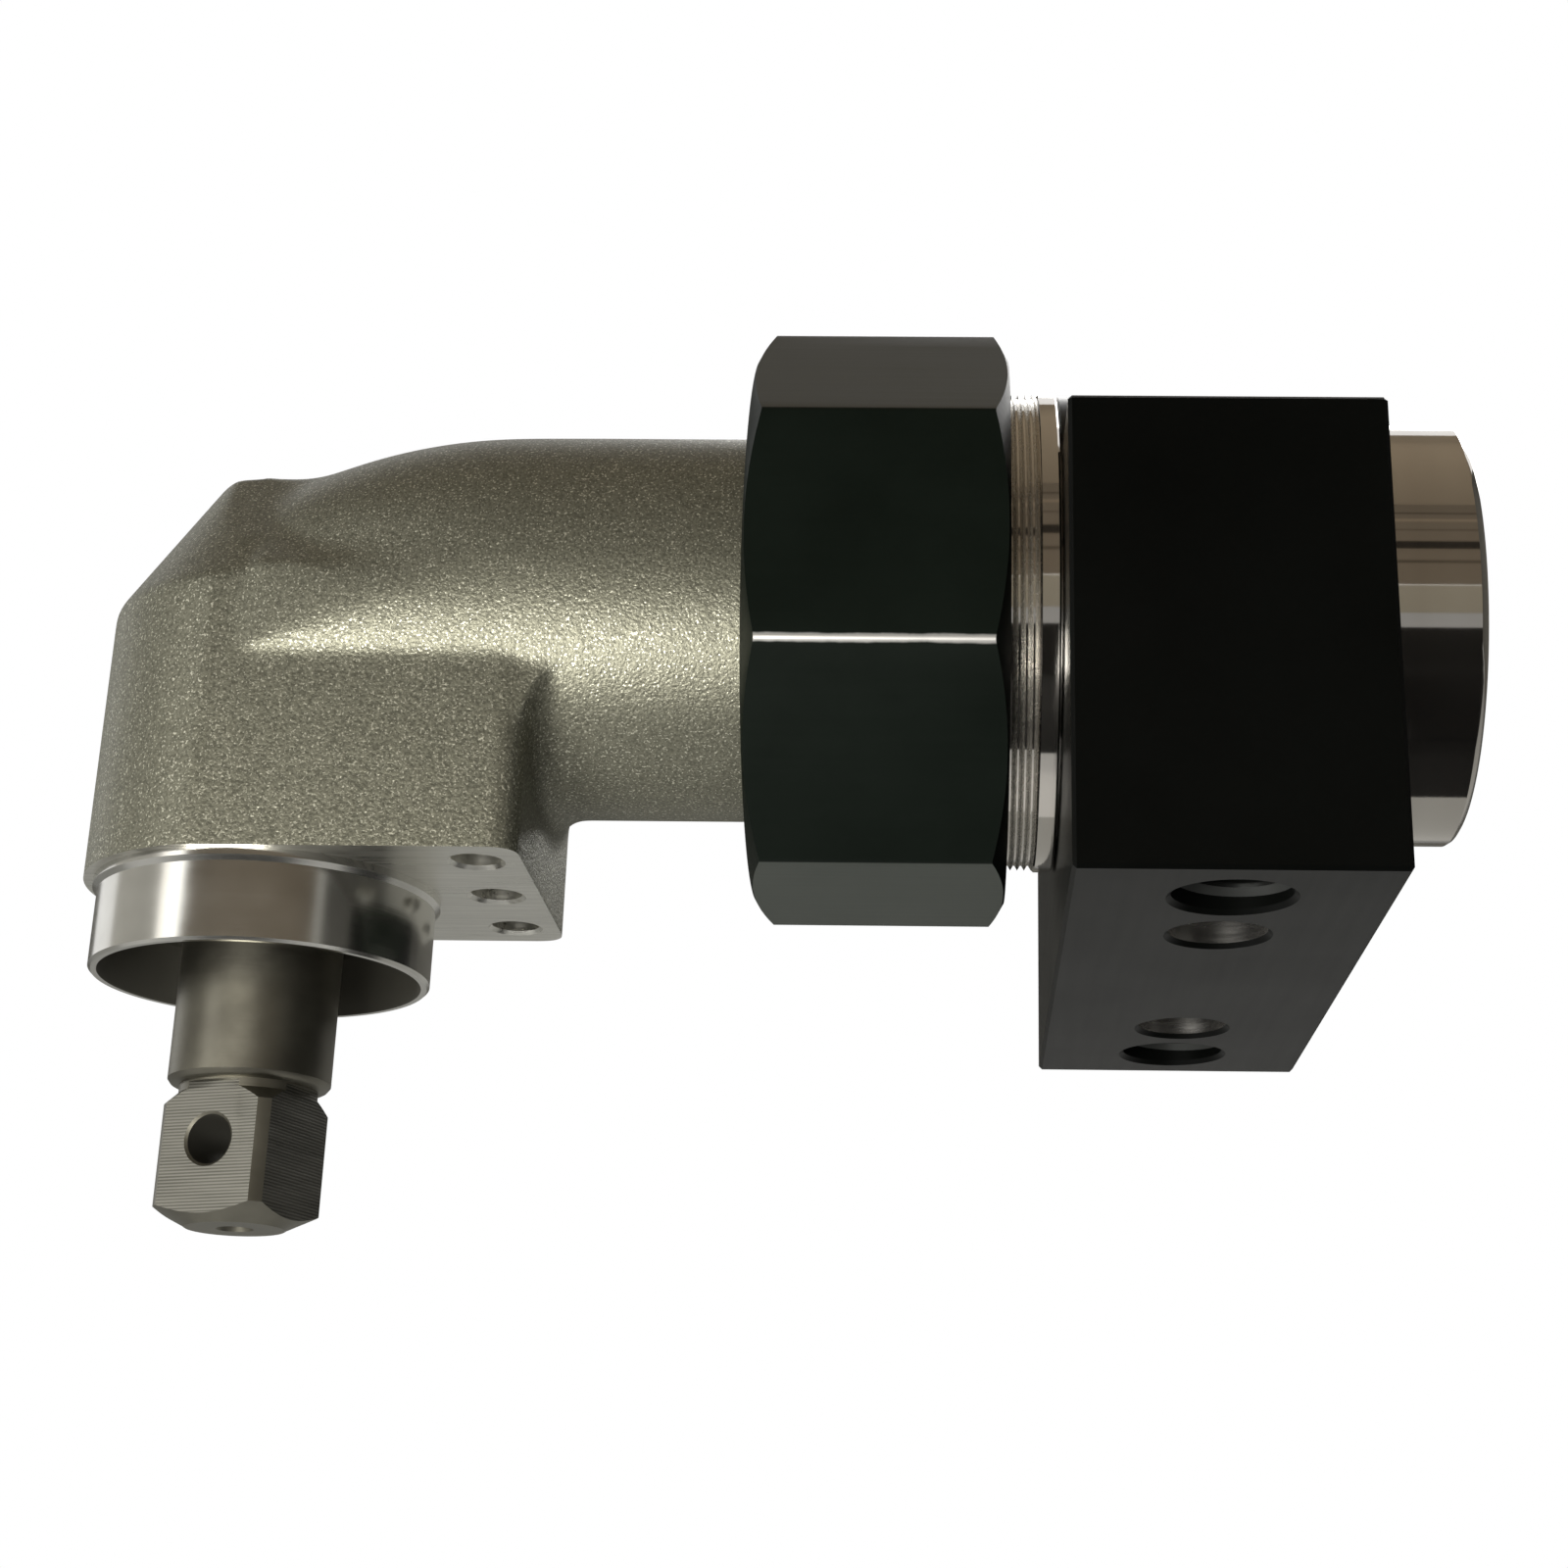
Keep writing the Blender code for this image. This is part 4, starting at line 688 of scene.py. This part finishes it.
fillet_arc = []
for step in range(FILLET_STEPS + 1):
    turn = math.pi + math.pi / 2 * step / FILLET_STEPS
    fillet_arc.append((
        HEAD_WALL + FILLET + FILLET * math.sin(turn),
        NECK_RADIUS + FILLET + FILLET * math.cos(turn),
    ))
fillet = lathe("neck_fillet", CROSSING, ALONG_TOOL, fillet_arc + [
    (HEAD_WALL - CLEAR, NECK_RADIUS + FILLET), (HEAD_WALL - CLEAR, NECK_RADIUS - CLEAR),
    (HEAD_WALL + FILLET, NECK_RADIUS - CLEAR), fillet_arc[0],
], hollow=True)
fillet_room = bar("fillet_room", CROSSING + Vector((HEAD_WALL - 0.002, -0.0182, HEAD_FACE)),
                  CROSSING + Vector((HEAD_WALL + FILLET + 0.0003, 0.0182, 0)))
round_corners(fillet_room, 0.0048)
carve(fillet, fillet_room, "INTERSECT")
carve(head_casting, fillet, "UNION")

bpy.context.view_layer.objects.active = head_casting
skin = head_casting.modifiers.new("Cast skin", "REMESH")
skin.mode = "VOXEL"
skin.voxel_size = CAST_GRID
bpy.ops.object.modifier_apply(modifier=skin.name)
soften = head_casting.modifiers.new("Soft edges", "SMOOTH")
soften.factor = 0.6
soften.iterations = 9
bpy.ops.object.modifier_apply(modifier=soften.name)


def ramp(value, low, high):
    """Rises evenly from 0 at low to 1 at high."""
    return min(max((value - low) / (high - low), 0), 1)


# The neck's swell flows into the case's back and top. The nose, the wall and the pad stay as cut.
blend = head_casting.vertex_groups.new(name="blend")
for vertex in head_casting.data.vertices:
    spot = vertex.co - CROSSING
    ahead = max(
        ramp(spot.x, 0.004, 0.014), ramp(spot.z, 0.008, 0.012), ramp(spot.z, -0.0005, -0.0025),
    )
    ahead *= ramp(spot.x, -0.003, 0.002) * ramp(spot.x, 0.034, 0.025)
    blend.add([vertex.index], ahead * ramp(spot.z, -0.009, -0.006), "REPLACE")
flow = head_casting.modifiers.new("Blend", "SMOOTH")
flow.factor = 0.7
flow.iterations = 90
flow.vertex_group = blend.name
bpy.ops.object.modifier_apply(modifier=flow.name)
slice_off(head_casting, CROSSING + Vector((0, 0, HEAD_FACE)), (0, 0, -1))
slice_off(head_casting, CROSSING + Vector((NECK_END, 0, 0)), (1, 0, 0))

SPINDLE_BORE = 0.0152
spindle_bore = lathe("spindle_bore", CROSSING, UPWARD, [
    (HEAD_FACE - CLEAR, SPINDLE_BORE), (-0.0190, SPINDLE_BORE), (-0.0189, 0.0146),
    (-0.0040, 0.0146), (0.0040, 0.0080), (0.0041, 0.0068), (0.0118, 0.0068),
])
carve(head_casting, spindle_bore)
PINION_BORE = 0.0163
PINION_BORE_START = 0.0060
pinion_bore = lathe("pinion_bore", CROSSING, ALONG_TOOL, [
    (PINION_BORE_START, 0.0142), (0.0187, 0.0142), (0.0188, PINION_BORE),
    (NECK_END + CLEAR, PINION_BORE),
])
carve(head_casting, pinion_bore)
FACE_HOLE_OUT = 0.0242
FACE_HOLE_SPACING = 0.013
FACE_HOLE_CHAMFER = 0.0004
FACE_HOLE_DEPTH = 0.009
FACE_HOLE_REACH = 0.0032
FACE_HOLES = ((-1, 0.0026), (0, 0.0027), (1, 0.0026))
for place, radius in FACE_HOLES:
    mouth = radius + FACE_HOLE_CHAMFER
    foot = CROSSING + Vector((FACE_HOLE_OUT, place * FACE_HOLE_SPACING, HEAD_FACE))
    drill = lathe("face_drill", foot, UPWARD, [
        (-CLEAR, mouth), (0, mouth), (FACE_HOLE_CHAMFER, radius), (FACE_HOLE_DEPTH, radius),
        (FACE_HOLE_DEPTH + 0.0015, 0.0002),
    ], steps=64)
    carve(head_casting, drill)

cast_steel = Finish("shot_blasted_steel", (0.20, 0.19, 0.165), 0.5, 0.75)
blast = cast_steel.noise(0.00032, 3.0)
pits = cast_steel.noise(0.0009, 2.0)
patches = cast_steel.noise(0.014, 3.0)
# Bright flecks painted into the colour are painted glints off the blasted grain, and these spots
# are also a little less rough.
painted_glints = cast_steel.mask(cast_steel.noise(0.00024, 1.0), 0.58, 0.74)
cast_tone = cast_steel.mix(patches, (0.184, 0.181, 0.137), (0.218, 0.214, 0.164))
cast_tone = cast_steel.mix(cast_steel.mask(blast, 0.34, 0.60), (0.125, 0.123, 0.093), cast_tone)
cast_steel.feed("Base Color", cast_steel.mix(painted_glints, cast_tone, (0.60, 0.59, 0.48)))
cast_steel.feed("Roughness", 0.47 - 0.12 * painted_glints - 0.04 * patches)
rough_skin = cast_steel.grain(pits, 0.00005, 0.4)
cast_steel.feed("Normal", cast_steel.grain(blast, 0.00010, 0.8, rough_skin))

milled_steel = Finish("milled_face", (0.62, 0.61, 0.58), 0.30, 1.0)
cutter_marks = milled_steel.noise(0.00045, 2.0, milled_steel.stretched((0.05, 1, 1)))
milled_tone = milled_steel.mix(cutter_marks, (0.52, 0.51, 0.46), (0.90, 0.89, 0.83))
milled_steel.feed("Base Color", milled_tone)
milled_steel.feed("Roughness", 0.22 + 0.16 * cutter_marks)
milled_steel.feed("Normal", milled_steel.grain(cutter_marks, 0.00001, 0.5))


def machined(centre, normal):
    """Finds the milled lower face of the head and the walls of its holes and bores."""
    local = centre - CROSSING
    on_face = normal.z < -0.99 and local.z < HEAD_FACE + HAIR
    away = min(math.hypot(local.x - FACE_HOLE_OUT, local.y - place * FACE_HOLE_SPACING)
               for place, radius in FACE_HOLES)
    in_hole = away < FACE_HOLE_REACH and local.z < HEAD_FACE + FACE_HOLE_DEPTH + 2 * CLEAR
    inward = local.x * normal.x + local.y * normal.y < HAIR
    in_case = math.hypot(local.x, local.y) < SPINDLE_BORE + HAIR and local.z < 0.012 and inward
    inward = local.y * normal.y + local.z * normal.z < HAIR
    beside_pinion = math.hypot(local.y, local.z) < PINION_BORE + HAIR
    in_neck = beside_pinion and local.x > PINION_BORE_START and inward
    return on_face or in_hole or in_case or in_neck


complete(head_casting, "head", "head_casing", "cast_steel", cast_steel, milled_steel)
finish_faces(head_casting, 1, machined)

# The collar below the gear case is part of the casting, turned bright and thin. A step at its
# top is the register for a guard, and its inside stays open round the spindle.
COLLAR_REGISTER = 0.0180
COLLAR_OUTER = 0.0175
COLLAR_INNER = 0.0165
COLLAR_END = HEAD_FACE - 0.0094
COLLAR_FLOOR = HEAD_FACE - 0.0030
collar = lathe("head_collar", CROSSING, UPWARD, [
    (HEAD_FACE, SPINDLE_BORE), (HEAD_FACE, COLLAR_REGISTER), (HEAD_FACE - 0.0008, COLLAR_REGISTER),
    (HEAD_FACE - 0.0010, 0.0178), (HEAD_FACE - 0.0013, COLLAR_OUTER),
    (COLLAR_END + 0.0003, COLLAR_OUTER), (COLLAR_END, COLLAR_OUTER - 0.0003),
    (COLLAR_END, COLLAR_INNER + HAIR), (COLLAR_END + 0.0002, COLLAR_INNER),
    (COLLAR_FLOOR, COLLAR_INNER), (COLLAR_FLOOR, SPINDLE_BORE), (HEAD_FACE, SPINDLE_BORE),
], hollow=True, steps=192)
turned_bright = Finish("turned_bright", (0.66, 0.65, 0.62), 0.2, 1.0)
feed_lines = turned_bright.noise(0.00022, 2.0, turned_bright.stretched((0.02, 0.02, 1)))
rubbed = turned_bright.noise(0.006, 3.0)
turned_bright.feed("Base Color", turned_bright.mix(rubbed, (0.55, 0.54, 0.50), (0.80, 0.79, 0.74)))
turned_bright.feed("Roughness", 0.11 + 0.09 * rubbed + 0.06 * feed_lines)
turned_bright.feed("Normal", turned_bright.grain(feed_lines, 0.000006, 0.5))
# The inside of the collar and the wall of the hole across the square get a dark colour as painted
# shade in these recesses.
painted_shade_inside = Finish("painted_shade_inside", (0.10, 0.096, 0.080), 0.55, 0.8)
painted_shade_inside.feed("Roughness", 0.40 + 0.25 * painted_shade_inside.noise(0.003, 3.0))


def faces_spindle(centre, normal):
    """Finds the inside of the collar."""
    return (centre.x - CROSSING.x) * normal.x + (centre.y - CROSSING.y) * normal.y < -0.001


complete(collar, "head", "head_casing", "cast_steel", turned_bright, painted_shade_inside)
finish_faces(collar, 1, faces_spindle)

# The neck ends in a turned flange that the nut pulls on and a spigot that centres the head in the
# sleeve. Both are machined on the casting and hidden in the nut.
FLANGE = 0.0257
FLANGE_END = 0.0620
SPIGOT = 0.0197
SPIGOT_END = 0.0680
SEAL_GROOVE = 0.0176
spigot = lathe("neck_spigot", CROSSING, ALONG_TOOL, [
    (NECK_END, PINION_BORE), (NECK_END, FLANGE - 0.0003), (NECK_END + 0.0003, FLANGE),
    (FLANGE_END - 0.0003, FLANGE), (FLANGE_END, FLANGE - 0.0003), (FLANGE_END, SPIGOT),
    (0.0640, SPIGOT), (0.0640, SEAL_GROOVE), (0.0664, SEAL_GROOVE), (0.0664, SPIGOT),
    (SPIGOT_END - 0.0003, SPIGOT), (SPIGOT_END, SPIGOT - 0.0003), (SPIGOT_END, PINION_BORE),
    (NECK_END, PINION_BORE),
], hollow=True)
complete(spigot, "head", "head_casing", "cast_steel", turned_bright)

# The output spindle is ground from one bar: a round shank, a relief groove and a square whose
# corners are turned back, with a hole across it for the socket's pin and a centre hole.
SHANK = 0.00825
SHANK_END = -0.0513
GROOVE = 0.0070
SQUARE = 0.0127
SQUARE_TURN = math.radians(-18.3)
CORNER_RADIUS = 0.0083
SQUARE_END = -0.0639
TIP_END = -0.0656
CUTTER_DEPTH = 0.012
CUTTER_WIDTH = 0.024
CUTTER_HEIGHT = 0.016
CROSS_HOLE = 0.0025
CROSS_HOLE_REACH = 0.012
CROSS_HOLE_MOUTH = 0.0029
CROSS_HOLE_PLACE = CROSSING + Vector((0, 0, -0.0575))
CENTRE_HOLE = 0.0019

spindle_body = lathe("spindle_body", CROSSING, UPWARD, [
    (0.0112, 0.0035), (0.0107, 0.0040), (0.0055, 0.0040), (0.00549, 0.0050), (-0.0087, 0.0050),
    (-0.00871, 0.0060), (-0.0173, 0.0060), (-0.01731, 0.01025), (-0.0190, 0.01025),
    (-0.01901, SHANK), (SHANK_END + 0.0006, SHANK), (SHANK_END + 0.0002, SHANK - 0.0003),
    (SHANK_END, SHANK - 0.0007), (SHANK_END - 0.0001, GROOVE), (SHANK_END - 0.0010, GROOVE),
    (SHANK_END - 0.0023, CORNER_RADIUS), (SQUARE_END, CORNER_RADIUS), (TIP_END + 0.0002, 0.0053),
    (TIP_END, 0.0050),
])
for quarter in range(4):
    start_clean()
    bpy.ops.mesh.primitive_cube_add(size=1)
    cutter = bpy.context.object
    cutter.matrix_world = (
        Matrix.Translation(CROSSING)
        @ Matrix.Rotation(SQUARE_TURN + quarter * math.pi / 2, 4, "Z")
        @ Matrix.Translation((
            SQUARE / 2 + CUTTER_DEPTH / 2, 0, SHANK_END - 0.0003 - CUTTER_HEIGHT / 2,
        ))
        @ Matrix.Diagonal((CUTTER_DEPTH, CUTTER_WIDTH, CUTTER_HEIGHT, 1))
    )
    bpy.ops.object.transform_apply(location=True, rotation=True, scale=True)
    carve(spindle_body, cutter)
cross_way = Vector((-math.sin(SQUARE_TURN), math.cos(SQUARE_TURN), 0))
cross_hole = lathe("cross_hole", CROSS_HOLE_PLACE, cross_way, [
    (-CROSS_HOLE_REACH, CROSS_HOLE), (CROSS_HOLE_REACH, CROSS_HOLE),
], steps=80)
carve(spindle_body, cross_hole)
for side in (-1, 1):
    mouth = lathe("cross_hole_mouth", CROSS_HOLE_PLACE, cross_way * side, [
        (SQUARE / 2 - 0.0003, CROSS_HOLE - HAIR), (SQUARE / 2 + HAIR, CROSS_HOLE_MOUTH),
    ], steps=80)
    carve(spindle_body, mouth)
centre_drill = lathe("centre_drill", CROSSING, UPWARD, [
    (TIP_END - CLEAR, CENTRE_HOLE), (TIP_END, CENTRE_HOLE), (TIP_END + 0.0026, DRILL_POINT),
], steps=64)
carve(spindle_body, centre_drill)
keyway = bar("keyway", CROSSING + Vector((-0.00755, -0.0014, -0.0158)),
             CROSSING + Vector((-0.00445, 0.0014, -0.0102)))
carve(spindle_body, keyway)

ground_steel = Finish("ground_steel", (0.42, 0.40, 0.37), 0.32, 1.0)
grinding = ground_steel.noise(0.00025, 2.0, ground_steel.stretched((0.04, 0.04, 1)))
handled = ground_steel.noise(0.005, 3.0)
ground_tone = ground_steel.mix(handled, (0.13, 0.122, 0.100), (0.255, 0.245, 0.200))
ground_steel.feed("Base Color", ground_tone)
ground_steel.feed("Roughness", 0.30 + 0.10 * handled + 0.08 * grinding)
ground_steel.feed("Normal", ground_steel.grain(grinding, 0.000006, 0.5))

square_steel = Finish("milled_square", (0.45, 0.43, 0.40), 0.30, 1.0)
FEED_MARK = 0.00032
height = (square_steel.up - CROSSING.z) * (math.tau / FEED_MARK)
ridges = square_steel.node("ShaderNodeMath", {"operation": "SINE"}, {0: height})
uneven = square_steel.noise(0.0009, 2.0, square_steel.stretched((0.1, 0.1, 1)))
lines = ridges * 0.5 + uneven
crests = square_steel.mask(lines, -0.2, 1.0)
square_tone = square_steel.mix(crests, (0.105, 0.103, 0.088), (0.225, 0.219, 0.192))
square_steel.feed("Base Color", square_tone)
square_steel.feed("Roughness", 0.26 + 0.14 * uneven)
square_steel.feed("Normal", square_steel.grain(lines, 0.00002, 0.5))


def on_square(centre, normal):
    """Finds the four flats of the square drive."""
    local = centre - CROSSING
    turned_back = Matrix.Rotation(-SQUARE_TURN, 3, "Z") @ normal
    flat = max(abs(turned_back.x), abs(turned_back.y)) > 0.995
    outside = math.hypot(local.x, local.y) > 0.0061
    return flat and outside and TIP_END < local.z < SHANK_END - 0.0005


def in_cross_hole(centre, normal):
    """Finds the wall of the hole across the square."""
    across = (centre - CROSS_HOLE_PLACE).cross(cross_way)
    return across.length < CROSS_HOLE + 2 * HAIR and abs(normal.dot(cross_way)) < 0.5


complete(spindle_body, "spindle", "output_spindle", "satin_steel",
         ground_steel, square_steel, painted_shade_inside)
finish_faces(spindle_body, 1, on_square)
finish_faces(spindle_body, 2, in_cross_hole)

# The other pieces inside the head keep their solids: gears, races, key, spacers and nuts. They are
# turned or ground steel, a bronze cage and black rubber seals, seen only through the openings.
gear_steel = Finish("gear_steel", (0.45, 0.44, 0.42), 0.3, 1.0)
gear_steel.feed("Roughness", 0.24 + 0.2 * gear_steel.noise(0.002, 3.0))
gear_steel.feed("Normal", gear_steel.grain(gear_steel.noise(0.0004), 0.00001, 0.6))
race_steel = Finish("race_steel", (0.58, 0.57, 0.55), 0.2, 1.0)
race_steel.feed("Roughness", 0.14 + 0.16 * race_steel.noise(0.003, 3.0))
bronze = Finish("cage_bronze", (0.50, 0.33, 0.14), 0.4, 1.0)
bronze.feed("Roughness", 0.32 + 0.2 * bronze.noise(0.002, 3.0))
seal_rubber = Finish("seal_rubber", (0.018, 0.018, 0.018), 0.7, 0.0)
seal_rubber.feed("Normal", seal_rubber.grain(seal_rubber.noise(0.0003), 0.00002, 0.5))

inside = (
    (gear_steel, (
        "pinion_shaft", "bevel_wheel", "drive_coupling", "inner_spacer", "outer_spacer",
        "shaft_nut",
    )),
    (race_steel, (
        "bearing_retainer", "lower_outer_race", "lower_inner_race", "front_outer_race",
        "front_inner_race", "rear_outer_race", "rear_inner_race", "needle_cup", "needle_cage",
        "bearing_lock_ring", "coupling_pin", "wheel_key", "wheel_snap_ring",
    )),
    (bronze, ("lower_ball_cage",)),
    (seal_rubber, ("spindle_seal", "neck_seal")),
)
for finish, names in inside:
    for name in names:
        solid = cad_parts[name]
        solid.data.materials.clear()
        solid.data.materials.append(finish.material)

# The pinion's two bearings have their balls on a bronze wire ring. The balls are a little smaller
# than the solids', so that they run clear of the flats of the races.
BALL_ROW = 0.01175
BALL = 0.00215
BALL_COUNT = 8
WIRE = 0.00075
ALONG_X = (0, math.pi / 2, 0)
for label, place in (("front", 0.0235), ("rear", 0.0535)):
    centre = CROSSING + Vector((place, 0, 0))
    start_clean()
    bpy.ops.mesh.primitive_torus_add(location=centre, rotation=ALONG_X, major_radius=BALL_ROW,
                                     minor_radius=WIRE, major_segments=72, minor_segments=10)
    ball_cage = bpy.context.object
    ball_cage.name = label + "_ball_row"
    bpy.ops.object.transform_apply(location=True, rotation=True, scale=True)
    for number in range(BALL_COUNT):
        turn = math.tau * number / BALL_COUNT
        spot = centre + Vector((0, math.cos(turn), math.sin(turn))) * BALL_ROW
        bpy.ops.mesh.primitive_uv_sphere_add(segments=24, ring_count=14, radius=BALL, location=spot)
        ball = bpy.context.object
        bpy.ops.object.transform_apply(location=True, rotation=True, scale=True)
        carve(ball_cage, ball, "UNION")
    complete(ball_cage, label + "_balls", label + "_ball_cage", "cage_bronze", bronze)
